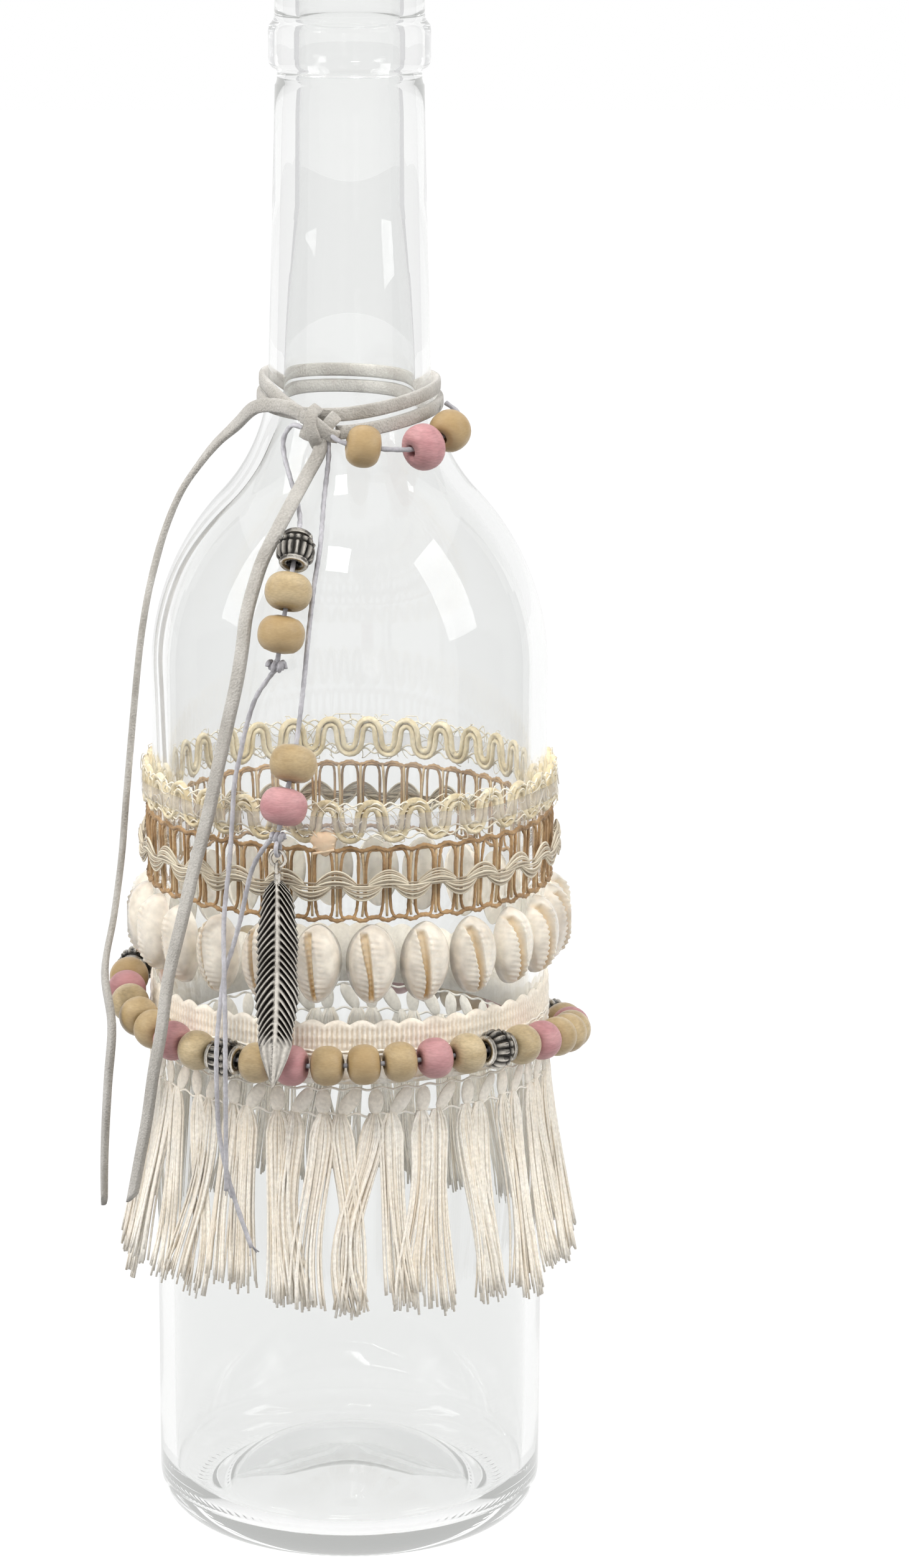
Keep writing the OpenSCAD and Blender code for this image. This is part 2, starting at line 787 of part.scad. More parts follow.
module feather() {
    side_r = (feather_len * feather_len + feather_w * feather_w) / (4 * feather_w);
    blade_mid = blade_top - eye_mid + feather_len / 2;
    color(metal_colour)
        translate(charm_at)
            rotate(charm_turn + 90)
                translate([0, 0, -eye_mid])
                    rotate([-feather_lean, 0, 0])
                        union() {
                            rotate([0, 90, 0])
                                rotate_extrude()
                                    translate([eye_bend, 0])
                                        circle(d = wire_d);
                            translate([0, 0, -blade_mid])
                                rotate([90, 0, 0])
                                    linear_extrude(feather_t, center = true)
                                        intersection() {
                                            translate([side_r - feather_w / 2, 0])
                                                circle(r = side_r);
                                            translate([feather_w / 2 - side_r, 0])
                                                circle(r = side_r);
                                        }
                            translate([0, 0, -blade_mid - feather_len / 2 + 2])
                                cylinder(r = feather_rib, h = feather_len + blade_top - eye_mid - eye_bend - 2);
                        }
}

bottle();
wave_braid();
ladder_braid();
loop_braid();
braid_join();
shell(1);  // shell_01
shell(2);  // shell_02
shell(3);  // shell_03
shell(4);  // shell_04
shell(5);  // shell_05
shell(6);  // shell_06
shell(7);  // shell_07
shell(8);  // shell_08
shell(9);  // shell_09
shell(10);  // shell_10
shell(11);  // shell_11
shell(12);  // shell_12
shell(13);  // shell_13
shell(14);  // shell_14
shell(15);  // shell_15
shell(16);  // shell_16
shell(17);  // shell_17
shell(18);  // shell_18
shell(19);  // shell_19
shell(20);  // shell_20
shell(21);  // shell_21
shell(22);  // shell_22
shell(23);  // shell_23
shell(24);  // shell_24
fringe_header();
fringe_tassels();
ring_string();
ring_beads_wood();
ring_beads_pink();
ring_beads_metal();
neck_lace();
lace_knot();
lace_tail_left();
lace_tail_front();
neck_cord();
neck_bead_wood_1();
neck_bead_pink();
neck_bead_wood_2();
drop_1_cord();
drop_1_bead_metal();
drop_1_bead_wood_1();
drop_1_bead_wood_2();
drop_1_knot();
drop_2_cord();
drop_2_bead_wood();
drop_2_bead_pink();
drop_2_knot();
drop_2_tail();
bail_ring();
feather();
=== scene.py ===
import math
import bpy
import numpy as np
from mathutils import Vector, Matrix


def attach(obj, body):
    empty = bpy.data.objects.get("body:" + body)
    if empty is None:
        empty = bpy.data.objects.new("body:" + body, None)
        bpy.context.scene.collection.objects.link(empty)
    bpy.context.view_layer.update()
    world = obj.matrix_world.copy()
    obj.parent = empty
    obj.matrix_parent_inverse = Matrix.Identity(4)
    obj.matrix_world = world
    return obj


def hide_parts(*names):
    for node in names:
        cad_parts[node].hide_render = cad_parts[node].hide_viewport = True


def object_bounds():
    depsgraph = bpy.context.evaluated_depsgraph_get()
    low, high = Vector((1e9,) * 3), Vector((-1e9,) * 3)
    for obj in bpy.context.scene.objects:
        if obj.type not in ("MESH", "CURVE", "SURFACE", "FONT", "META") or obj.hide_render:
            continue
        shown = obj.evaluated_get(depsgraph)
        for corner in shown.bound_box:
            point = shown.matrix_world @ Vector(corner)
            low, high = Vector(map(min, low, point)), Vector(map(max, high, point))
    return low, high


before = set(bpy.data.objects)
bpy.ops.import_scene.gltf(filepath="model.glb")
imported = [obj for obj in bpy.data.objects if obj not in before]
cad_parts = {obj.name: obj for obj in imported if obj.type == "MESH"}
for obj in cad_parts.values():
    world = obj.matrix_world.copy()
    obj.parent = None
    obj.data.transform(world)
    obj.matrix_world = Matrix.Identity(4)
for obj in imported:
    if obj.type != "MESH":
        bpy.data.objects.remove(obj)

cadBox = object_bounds()
mm = 0.001
rng = np.random.default_rng(11)
print("stage frame")

# camera, set to the photo's view
cameraData = bpy.data.cameras.new("camera")
cameraData.sensor_width = 36
cameraData.lens = 101.07
cameraData.shift_x = 0.0669
cameraData.shift_y = 0.15
cameraData.clip_start = 0.01
camera = bpy.data.objects.new("camera", cameraData)
camera.location = (0, -0.820, 0.3275)
camera.rotation_euler = (math.radians(90 - 15.56), 0, 0)
bpy.context.scene.collection.objects.link(camera)
bpy.context.scene.camera = camera


def unit(v):
    v = np.asarray(v, float)
    return v / np.linalg.norm(v)


def meshObject(name, parts, material, attrs=None, smooth=True):
    verts, faces, tones = [], [], []
    offset = 0
    for part in parts:
        v, f = part[0], part[1]
        verts.append(v)
        faces.extend([tuple(i + offset for i in face) for face in f])
        tones.append(part[2] if len(part) > 2 else np.zeros(len(v)))
        offset += len(v)
    verts = np.concatenate(verts)
    mesh = bpy.data.meshes.new(name)
    mesh.from_pydata((verts * mm).tolist(), [], faces)
    mesh.update()
    if smooth:
        mesh.shade_smooth()
    tone = mesh.attributes.new("tone", "FLOAT", "POINT")
    tone.data.foreach_set("value", np.concatenate(tones).astype(np.float32))
    obj = bpy.data.objects.new(name, mesh)
    bpy.context.scene.collection.objects.link(obj)
    mesh.materials.append(material)
    return obj


def catmull(points, k):
    p = np.asarray(points, float)
    out = []
    n = len(p)
    for i in range(n - 1):
        a, b, c, d = p[max(0, i - 1)], p[i], p[i + 1], p[min(n - 1, i + 2)]
        for s in range(k):
            t = s / k
            out.append(0.5 * (2 * b + (c - a) * t + (2 * a - 5 * b + 4 * c - d) * t * t
                              + (3 * b - a - 3 * c + d) * t ** 3))
    out.append(p[-1])
    return np.array(out)


def frames(path, closed=False):
    p = np.asarray(path, float)
    if closed:
        d = np.roll(p, -1, 0) - np.roll(p, 1, 0)
    else:
        d = np.gradient(p, axis=0)
    d = d / np.linalg.norm(d, axis=1)[:, None]
    up = p.copy()
    up[:, 2] = 0
    up = up / np.maximum(np.linalg.norm(up, axis=1), 1e-6)[:, None]
    out = up - (up * d).sum(1)[:, None] * d
    out = out / np.maximum(np.linalg.norm(out, axis=1), 1e-6)[:, None]
    return d, out, np.cross(d, out)


def tube(path, width, thick=None, sides=8, closed=False, ply=0, plyPitch=2.0, plyDepth=0.12,
         tone=0.0, square=False, taper=None):
    p = np.asarray(path, float)
    thick = width if thick is None else thick
    d, out, side = frames(p, closed)
    n = len(p)
    steps = np.linalg.norm(np.diff(p, axis=0), axis=1)
    run = np.concatenate([[0], np.cumsum(steps)])
    ang = 2 * np.pi * np.arange(sides) / sides
    ca, sa = np.cos(ang), np.sin(ang)
    if square:
        e = 0.55
        ca = np.sign(ca) * np.abs(ca) ** e
        sa = np.sign(sa) * np.abs(sa) ** e
    scale = np.ones((n, sides))
    if ply:
        phase = ply * (ang[None, :] - 2 * np.pi * run[:, None] / (plyPitch * ply))
        scale = 1 - plyDepth + plyDepth * np.cos(phase)
    if taper is not None:
        scale = scale * np.asarray(taper)[:, None]
    verts = (p[:, None, :]
             + out[:, None, :] * (thick / 2 * ca[None, :] * scale)[:, :, None]
             + side[:, None, :] * (width / 2 * sa[None, :] * scale)[:, :, None])
    verts = verts.reshape(-1, 3)
    faces = []
    last = n if closed else n - 1
    for i in range(last):
        j = (i + 1) % n
        for s in range(sides):
            t = (s + 1) % sides
            faces.append((i * sides + s, i * sides + t, j * sides + t, j * sides + s))
    if not closed:
        faces.append(tuple(range(sides - 1, -1, -1)))
        faces.append(tuple((n - 1) * sides + s for s in range(sides)))
    return verts, faces, np.full(len(verts), float(tone))


def lathe(profile, n, closedProfile=False, wobble=None, tone=None):
    prof = np.asarray(profile, float)
    m = len(prof)
    a = 2 * np.pi * np.arange(n) / n
    r = np.repeat(prof[:, 0][:, None], n, 1)
    z = np.repeat(prof[:, 1][:, None], n, 1)
    if wobble is not None:
        r, z = wobble(r, z, np.repeat(a[None, :], m, 0))
    verts = np.stack([r * np.cos(a), r * np.sin(a), z], -1).reshape(-1, 3)
    faces = []
    rows = m if closedProfile else m - 1
    for i in range(rows):
        j = (i + 1) % m
        for s in range(n):
            t = (s + 1) % n
            faces.append((i * n + s, i * n + t, j * n + t, j * n + s))
    tones = np.zeros(len(verts)) if tone is None else np.repeat(np.asarray(tone)[:, None], n, 1).ravel()
    return verts, faces, tones


def place(part, at, axis, turn=0.0):
    axis = unit(axis)
    q = Vector((0, 0, 1)).rotation_difference(Vector(axis)).to_matrix()
    m = np.array(q) @ np.array(Matrix.Rotation(turn, 3, "Z"))
    return (part[0] @ m.T + np.asarray(at, float),) + tuple(part[1:])


def arcPoints(c, r, a, b, n):
    t = np.radians(np.linspace(a, b, n))
    return [(c[0] + r * math.cos(x), c[1] + r * math.sin(x)) for x in t]


# a tree that sets copies of its variants round the bottle's axis, each a little off its even place
def repeatRound(name, variants, count, material, seed=3, sway=0.0, rise=0.0, phase=0.0):
    sources = [meshObject(name + "_variant_%d" % k, parts, material) for k, parts in enumerate(variants)]
    tree = bpy.data.node_groups.new(name + "Tree", "GeometryNodeTree")
    socket = {}
    for label, kind in (("Geometry", "NodeSocketGeometry"), ("Count", "NodeSocketInt"), ("Seed", "NodeSocketInt"),
                        ("Sway", "NodeSocketFloat"), ("Rise", "NodeSocketFloat"), ("Phase", "NodeSocketFloat"),
                        ("Finish", "NodeSocketMaterial")):
        socket[label] = tree.interface.new_socket(label, in_out="INPUT", socket_type=kind).identifier
    tree.interface.new_socket("Geometry", in_out="OUTPUT", socket_type="NodeSocketGeometry")
    n, l = tree.nodes, tree.links
    gin, gout = n.new("NodeGroupInput"), n.new("NodeGroupOutput")

    def sums(kind, a, b):
        node = n.new("ShaderNodeMath")
        node.operation = kind
        for k, v in ((0, a), (1, b)):
            if isinstance(v, (int, float)):
                node.inputs[k].default_value = v
            else:
                l.new(v, node.inputs[k])
        return node.outputs[0]

    def scatter(size, seedSocket):
        node = n.new("FunctionNodeRandomValue")
        node.data_type = "FLOAT"
        live = {q.name: q for q in node.inputs if q.enabled}
        l.new(sums("MULTIPLY", size, -1.0), live["Min"])
        l.new(size, live["Max"])
        l.new(seedSocket, live["Seed"])
        return [q for q in node.outputs if q.enabled][0]

    share = sums("DIVIDE", sums("ADD", n.new("GeometryNodeInputIndex").outputs[0], gin.outputs["Phase"]), gin.outputs["Count"])
    heading = sums("ADD", sums("MULTIPLY", share, 2 * math.pi), scatter(gin.outputs["Sway"], gin.outputs["Seed"]))
    spin, lift = n.new("ShaderNodeCombineXYZ"), n.new("ShaderNodeCombineXYZ")
    l.new(heading, spin.inputs["Z"])
    l.new(scatter(gin.outputs["Rise"], sums("ADD", gin.outputs["Seed"], 1)), lift.inputs["Z"])
    rot = n.new("FunctionNodeEulerToRotation")
    l.new(spin.outputs[0], rot.inputs[0])
    points = n.new("GeometryNodePoints")
    l.new(gin.outputs["Count"], points.inputs["Count"])
    l.new(lift.outputs[0], points.inputs["Position"])
    joined = n.new("GeometryNodeJoinGeometry")
    for source in sources:
        info = n.new("GeometryNodeObjectInfo")
        info.inputs["Object"].default_value = source
        info.inputs["As Instance"].default_value = True
        l.new(info.outputs["Geometry"], joined.inputs[0])
    copies = n.new("GeometryNodeInstanceOnPoints")
    copies.inputs["Pick Instance"].default_value = True
    l.new(points.outputs[0], copies.inputs["Points"])
    l.new(joined.outputs[0], copies.inputs["Instance"])
    l.new(rot.outputs[0], copies.inputs["Rotation"])
    real, coat = n.new("GeometryNodeRealizeInstances"), n.new("GeometryNodeSetMaterial")
    l.new(copies.outputs[0], real.inputs[0])
    l.new(real.outputs[0], coat.inputs["Geometry"])
    l.new(gin.outputs["Finish"], coat.inputs["Material"])
    l.new(coat.outputs[0], gout.inputs[0])
    host = bpy.data.objects.new(name, bpy.data.meshes.new(name))
    bpy.context.scene.collection.objects.link(host)
    mod = host.modifiers.new("round", "NODES")
    mod.node_group = tree
    for label, value in (("Count", count), ("Seed", seed), ("Sway", sway), ("Rise", rise * mm), ("Phase", phase),
                         ("Finish", material)):
        mod[socket[label]] = value
    bpy.context.view_layer.update()
    made = bpy.data.meshes.new_from_object(host.evaluated_get(bpy.context.evaluated_depsgraph_get()))
    host.modifiers.clear()
    host.data = made
    made.name = name
    for source in sources:
        bpy.data.objects.remove(source)
    print("  round", name, len(made.polygons))
    return host


# shared node groups
def surfaceGroup():
    g = bpy.data.node_groups.new("surfaceTone", "ShaderNodeTree")
    for name, kind in (("Low", "NodeSocketColor"), ("High", "NodeSocketColor"), ("Scale", "NodeSocketFloat"),
                       ("Fine", "NodeSocketFloat"), ("Bump", "NodeSocketFloat"), ("Stretch", "NodeSocketVector")):
        g.interface.new_socket(name, in_out="INPUT", socket_type=kind)
    g.interface.new_socket("Color", in_out="OUTPUT", socket_type="NodeSocketColor")
    g.interface.new_socket("Normal", in_out="OUTPUT", socket_type="NodeSocketVector")
    g.interface.new_socket("Height", in_out="OUTPUT", socket_type="NodeSocketFloat")
    n, l = g.nodes, g.links
    gin, gout = n.new("NodeGroupInput"), n.new("NodeGroupOutput")
    coord = n.new("ShaderNodeTexCoord")
    mult = n.new("ShaderNodeVectorMath")
    mult.operation = "MULTIPLY"
    l.new(coord.outputs["Object"], mult.inputs[0])
    l.new(gin.outputs["Stretch"], mult.inputs[1])
    big = n.new("ShaderNodeTexNoise")
    big.inputs["Detail"].default_value = 4
    fine = n.new("ShaderNodeTexNoise")
    fine.inputs["Detail"].default_value = 3
    for tex, key in ((big, "Scale"), (fine, "Fine")):
        l.new(mult.outputs[0], tex.inputs["Vector"])
        l.new(gin.outputs[key], tex.inputs["Scale"])
    ramp = n.new("ShaderNodeMapRange")
    ramp.inputs["From Min"].default_value = 0.36
    ramp.inputs["From Max"].default_value = 0.64
    l.new(big.outputs["Fac"], ramp.inputs["Value"])
    fineRamp = n.new("ShaderNodeMapRange")
    fineRamp.inputs["From Min"].default_value = 0.35
    fineRamp.inputs["From Max"].default_value = 0.65
    fineRamp.inputs["To Min"].default_value = 0.86
    fineRamp.inputs["To Max"].default_value = 1.06
    l.new(fine.outputs["Fac"], fineRamp.inputs["Value"])
    mix = n.new("ShaderNodeMix")
    mix.data_type = "RGBA"
    l.new(ramp.outputs["Result"], mix.inputs["Factor"])
    l.new(gin.outputs["Low"], mix.inputs["A"])
    l.new(gin.outputs["High"], mix.inputs["B"])
    for s in mix.inputs:
        if s.type == "RGBA" and s.name == "A":
            l.new(gin.outputs["Low"], s)
        if s.type == "RGBA" and s.name == "B":
            l.new(gin.outputs["High"], s)
    tint = n.new("ShaderNodeVectorMath")
    tint.operation = "SCALE"
    outCol = [s for s in mix.outputs if s.type == "RGBA"][0]
    l.new(outCol, tint.inputs[0])
    l.new(fineRamp.outputs["Result"], tint.inputs["Scale"])
    bump = n.new("ShaderNodeBump")
    bump.inputs["Distance"].default_value = 0.0003
    l.new(gin.outputs["Bump"], bump.inputs["Strength"])
    l.new(fine.outputs["Fac"], bump.inputs["Height"])
    l.new(tint.outputs[0], gout.inputs["Color"])
    l.new(bump.outputs["Normal"], gout.inputs["Normal"])
    l.new(fine.outputs["Fac"], gout.inputs["Height"])
    return g


toneGroup = surfaceGroup()


def newMaterial(name):
    m = bpy.data.materials.new(name)
    m.use_nodes = True
    return m, m.node_tree.nodes, m.node_tree.links, m.node_tree.nodes["Principled BSDF"]


# low and high are the two tones that the surface drifts between; second is what the tone attribute leads to
def surface(name, low, high, rough=0.8, scale=60, fine=900, bump=0.5, stretch=(1, 1, 1), sheen=0.0,
            second=None, metallic=0.0, subsurface=0.0, coat=0.0, transmission=0.0):
    m, n, l, p = newMaterial(name)
    g = n.new("ShaderNodeGroup")
    g.node_tree = toneGroup
    g.inputs["Low"].default_value = (*low, 1)
    g.inputs["High"].default_value = (*high, 1)
    g.inputs["Scale"].default_value = scale
    g.inputs["Fine"].default_value = fine
    g.inputs["Bump"].default_value = bump
    g.inputs["Stretch"].default_value = stretch
    color = g.outputs["Color"]
    if second is not None:
        attr = n.new("ShaderNodeAttribute")
        attr.attribute_name = "tone"
        mix = n.new("ShaderNodeMix")
        mix.data_type = "RGBA"
        l.new(attr.outputs["Fac"], mix.inputs[0])
        cols = [s for s in mix.inputs if s.type == "RGBA"]
        l.new(color, cols[0])
        cols[1].default_value = (*second, 1)
        color = [s for s in mix.outputs if s.type == "RGBA"][0]
    l.new(color, p.inputs["Base Color"])
    l.new(g.outputs["Normal"], p.inputs["Normal"])
    p.inputs["Roughness"].default_value = rough
    p.inputs["Metallic"].default_value = metallic
    p.inputs["Sheen Weight"].default_value = sheen
    p.inputs["Coat Weight"].default_value = coat
    p.inputs["Coat Roughness"].default_value = 0.2
    if subsurface:
        p.inputs["Subsurface Weight"].default_value = subsurface
        p.inputs["Subsurface Radius"].default_value = (1.0, 0.7, 0.5)
        p.inputs["Subsurface Scale"].default_value = 0.001
    return m


def lin(r, g, b):
    return tuple(((c / 255) / 12.92 if c / 255 <= 0.04045 else ((c / 255 + 0.055) / 1.055) ** 2.4) for c in (r, g, b))


glassMat, gn, gl, gp = newMaterial("clearGlass")
gp.inputs["Transmission Weight"].default_value = 1
gp.inputs["Roughness"].default_value = 0.0
gp.inputs["IOR"].default_value = 1.48
gCoord = gn.new("ShaderNodeTexCoord")
gNoise = gn.new("ShaderNodeTexNoise")
gNoise.inputs["Scale"].default_value = 22
gNoise.inputs["Detail"].default_value = 1
gBump = gn.new("ShaderNodeBump")
gBump.inputs["Strength"].default_value = 0.12
gBump.inputs["Distance"].default_value = 0.002
gl.new(gCoord.outputs["Object"], gNoise.inputs["Vector"])
gl.new(gNoise.outputs["Fac"], gBump.inputs["Height"])
gl.new(gBump.outputs["Normal"], gp.inputs["Normal"])
# painted shade: the glass colour is a little greyer on the lower wall than on the shoulder, set by height
gSplit = gn.new("ShaderNodeSeparateXYZ")
gHeight = gn.new("ShaderNodeMapRange")
gHeight.inputs["From Min"].default_value = 0.03
gHeight.inputs["From Max"].default_value = 0.12
gPaintedShade = gn.new("ShaderNodeMix")
gPaintedShade.data_type = "RGBA"
gPaintedShadeTones = [q for q in gPaintedShade.inputs if q.type == "RGBA"]
gPaintedShadeTones[0].default_value = (0.875, 0.88, 0.875, 1)
gPaintedShadeTones[1].default_value = (0.9, 0.905, 0.9, 1)
gl.new(gCoord.outputs["Object"], gSplit.inputs[0])
gl.new(gSplit.outputs["Z"], gHeight.inputs["Value"])
gl.new(gHeight.outputs["Result"], gPaintedShade.inputs[0])
gl.new([q for q in gPaintedShade.outputs if q.type == "RGBA"][0], gp.inputs["Base Color"])
# painted glow: once a ray has bounced more than twice inside the glass, the glass emits a pale grey, standing in for
# light that has run far inside the thick foot
gPath = gn.new("ShaderNodeLightPath")
gDeep = gn.new("ShaderNodeMath")
gDeep.operation = "GREATER_THAN"
gDeep.inputs[1].default_value = 2.5
gPaintedGlow = gn.new("ShaderNodeMath")
gPaintedGlow.operation = "MULTIPLY"
gPaintedGlow.inputs[1].default_value = 0.2
gl.new(gPath.outputs["Glossy Depth"], gDeep.inputs[0])
gl.new(gDeep.outputs[0], gPaintedGlow.inputs[0])
gl.new(gPaintedGlow.outputs[0], gp.inputs["Emission Strength"])
gp.inputs["Emission Color"].default_value = (0.86, 0.87, 0.85, 1)

mats = {
    "cream": surface("creamCord", lin(206, 189, 152), lin(234, 221, 190), 0.75, 260, 1400, 0.7, sheen=0.3),
    "creamThread": surface("creamThread", lin(226, 215, 190), lin(244, 237, 220), 0.7, 90, 1400, 0.3, sheen=0.3),
    "jute": surface("juteCord", lin(134, 100, 64), lin(178, 141, 98), 0.85, 220, 1800, 0.7, sheen=0.2,
                    second=lin(222, 198, 158)),
    "taupe": surface("taupeBraid", lin(140, 122, 100), lin(180, 164, 140), 0.85, 60, 1600, 0.5, sheen=0.3,
                     second=lin(222, 212, 190)),
    "cotton": surface("cottonThread", lin(252, 244, 230), lin(255, 251, 242), 0.85, 70, 1500, 0.3, sheen=0.3,
                      second=lin(234, 219, 196)),
    "glue": surface("peachGlue", lin(226, 196, 164), lin(240, 218, 192), 0.4, 120, 900, 0.3, second=lin(232, 204, 172), subsurface=0.2),
    "suede": surface("suedeLace", lin(172, 167, 159), lin(199, 195, 188), 0.92, 120, 2600, 0.9, sheen=0.4,
                     second=lin(150, 144, 135)),
    "cord": surface("waxedCord", lin(164, 162, 166), lin(196, 194, 198), 0.5, 200, 1800, 0.3),
    "wood": surface("paleWood", lin(172, 151, 114), lin(197, 178, 142), 0.4, 120, 1300, 0.12, (1, 1, 3),
                    second=lin(164, 134, 88), coat=0.2),
    "pink": surface("pinkBead", lin(182, 130, 132), lin(200, 152, 152), 0.5, 110, 900, 0.2, (1, 1, 4),
                    second=lin(170, 120, 120), coat=0.1),
    "metal": surface("antiqueMetal", lin(190, 184, 174), lin(226, 220, 210), 0.2, 200, 1600, 0.25,
                     second=lin(14, 12, 11), metallic=1.0),
    "shell": surface("cowrieShell", lin(212, 201, 186), lin(240, 232, 217), 0.2, 70, 500, 0.05,
                     second=lin(236, 200, 132), subsurface=0.15, coat=0.5),
}


def finish(obj, body, nodes=()):
    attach(obj, body)
    if nodes:
        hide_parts(*nodes)
    return obj


print("stage materials")

routes = {
    "lace_tail_left": [
        (-7.5, -17.5, 217.5), (-10, -16, 219), (-13.5, -13, 219.5), (-17.5, -8.5, 218.5),
        (-21, -2, 214.5), (-25, 0.5, 210.5), (-28.5, 2, 206), (-31.5, 2.5, 201.5),
        (-34, 2.5, 196), (-36, 2, 190), (-38, 0, 182), (-39.5, -1, 173),
        (-40.5, -1.5, 164), (-41.5, -1.5, 154), (-42.5, -2, 143.5), (-43.5, -3, 132),
        (-45, -5.5, 121), (-46.5, -12, 112), (-45, -18, 103), (-46, -16.5, 91),
        (-47, -13, 77), (-47.5, -9, 63.5)],
    "lace_tail_front": [
        (-5.5, -19.5, 214.5), (-5.5, -20, 212), (-7.8, -22.5, 208), (-10.5, -26, 203.5),
        (-13.3, -28.2, 198.5), (-15.8, -29, 193.5), (-17.5, -30.3, 188.5), (-18.8, -32, 183.5),
        (-19.5, -33, 178), (-20.5, -33.5, 172), (-22.5, -33, 163), (-24.5, -33.5, 154),
        (-26, -33.5, 147), (-28.5, -33, 137.5), (-31, -33.5, 127), (-33.5, -33, 116.5),
        (-35, -33.5, 106), (-36.5, -32.5, 98), (-38, -30.5, 88), (-39.5, -28.5, 80),
        (-41.5, -25.5, 69.5)],
    "neck_cord": [
        (-3.2, -20.3, 214.9), (-1.3, -22, 214), (2.5, -22.3, 213.3), (8, -21.4, 212.6),
        (13.5, -18.2, 212.6), (18.4, -12.6, 214.8), (20.2, -8, 217), (17.8, -5.5, 219)],
    "drop_1_cord": [
        (-8.5, -17.5, 216), (-10.5, -16.5, 216.3), (-12, -15.5, 214), (-12, -16, 211),
        (-11, -18.5, 207.5), (-9.8, -22, 204), (-9, -26.5, 200.5), (-9.7, -32.3, 196),
        (-11, -36.6, 189.2), (-12.3, -38.8, 181.8), (-13.2, -38.8, 176), (-14.5, -36, 173.5),
        (-17, -35, 169.5), (-18.8, -34.5, 164), (-20, -34.5, 158.5), (-21, -35, 153.5),
        (-21.5, -35.5, 146), (-22, -36.5, 139), (-23, -38, 129), (-23, -40.5, 119.5),
        (-22.8, -43.2, 110.5), (-22.8, -44, 104), (-22.8, -44, 97), (-22.8, -44, 88),
        (-22.8, -44, 78.5)],
    "drop_2_cord": [
        (-4, -19, 214.5), (-3.8, -19.5, 211.5), (-4.2, -21.3, 207.5), (-4.7, -24, 203.5),
        (-5.3, -29.5, 196.5), (-6.4, -33.3, 189.8), (-7.4, -36, 181.5), (-8.3, -37.8, 172.5),
        (-9.2, -38.8, 165), (-10.2, -41.2, 158.6), (-11.9, -43.6, 151.2), (-12.8, -43.8, 146.8)],
    "drop_2_tail": [
        (-14, -43.2, 145.3), (-16, -42, 142.5), (-18, -40.5, 138), (-20, -39.5, 129),
        (-21.5, -39, 123.5), (-23, -38.5, 118.5), (-24, -40.5, 111), (-24.5, -41.3, 104.5),
        (-24.5, -41.2, 97.5), (-24, -41.5, 88), (-21.8, -42.5, 78), (-18.2, -44.2, 67.5)],
}


laceTails = {
    "lace_tail_left": dict(mat="suede", width=2.6, thick=1.3, k=6),
    "lace_tail_front": dict(mat="suede", width=2.6, thick=1.3, k=6),
}
for name, v in laceTails.items():
    path = catmull(routes[name], v["k"])
    n = len(path)
    part = tube(path, v["width"], v["thick"], 12, square=True)
    verts = part[0].reshape(n, 12, 3)
    # slanted cut at the end
    d = unit(path[-1] - path[-4])
    _, _, side = frames(path)
    for row in range(n - 5, n):
        w = (row - (n - 5)) / 4
        off = (verts[row] - path[row]) @ side[row]
        verts[row] = verts[row] + d * ((off / 1.3 * 2.0 - 2.0) * w)[:, None]
    verts[:, :, 0] = np.maximum(verts[:, :, 0], cadBox[0][0] / mm + 0.01)
    run = np.linspace(0, 1, n)
    tones = 0.12 + 0.1 * np.sin(run * 90) * rng.random(n)
    part = (verts.reshape(-1, 3), part[1], np.repeat(tones, 12))
    obj = meshObject(name + "_piece", [part], mats[v["mat"]])
    finish(obj, "neck_tie", [name])

thinCords = {"neck_cord": "object", "drop_1_cord": "bare", "drop_2_cord": "knot", "drop_2_tail": "bare"}
for name, far in thinCords.items():
    path = catmull(routes[name], 8)
    parts = [tube(path, 1.0, 1.0, 8, ply=2, plyPitch=2.4, plyDepth=0.1)]
    if name in ("drop_2_tail", "drop_1_cord"):
        # loose fibres at the frayed end
        tip, d = path[-1], unit(path[-1] - path[-3])
        for i in range(5):
            away = np.cross(d, rng.normal(size=3))
            away = away / np.linalg.norm(away)
            hair = np.array([tip - d * 0.6 + away * (0.2 + 0.9 * t ** 1.5) + d * 1.9 * t for t in np.linspace(0, 1, 4)])
            parts.append(tube(hair, 0.22, 0.22, 4))
    obj = meshObject(name + "_piece", parts, mats["cord"])
    finish(obj, "neck_tie", [name])
print("stage cords")

# glass
shoulder = (-10.5, 168.5)
neckC = (48.1, 168.5 + math.sqrt(81 ** 2 - 58.6 ** 2))
meet = math.degrees(math.atan2(neckC[1] - shoulder[1], neckC[0] - shoulder[0]))
outer = ([(26.7, 0.35), (27.4, 0), (28.3, 0)] + arcPoints((28.5, 9), 9, -82, 0, 18)
         + [(37.5, z) for z in np.linspace(20, 160, 12)]
         + arcPoints(shoulder, 48, 0, meet, 30)
         + arcPoints(neckC, 33, meet + 180, 180, 26)[1:]
         + [(15.1 - 1.4 * t, 224.42 + 51.9 * t) for t in np.linspace(0.08, 1, 10)]
         + [(13.45, 276.7), (13.28, 277.4), (13.28, 278.7), (13.6, 279.2), (14.3, 279.5), (14.75, 280.2),
            (14.86, 281.2), (14.86, 286), (14.7, 287), (14.2, 287.6), (13.85, 288.1), (13.72, 289),
            (13.7, 297), (13.55, 298.6), (13.1, 299.6), (12.2, 300), (10.8, 300), (9.9, 299.8), (9.4, 299.2)])
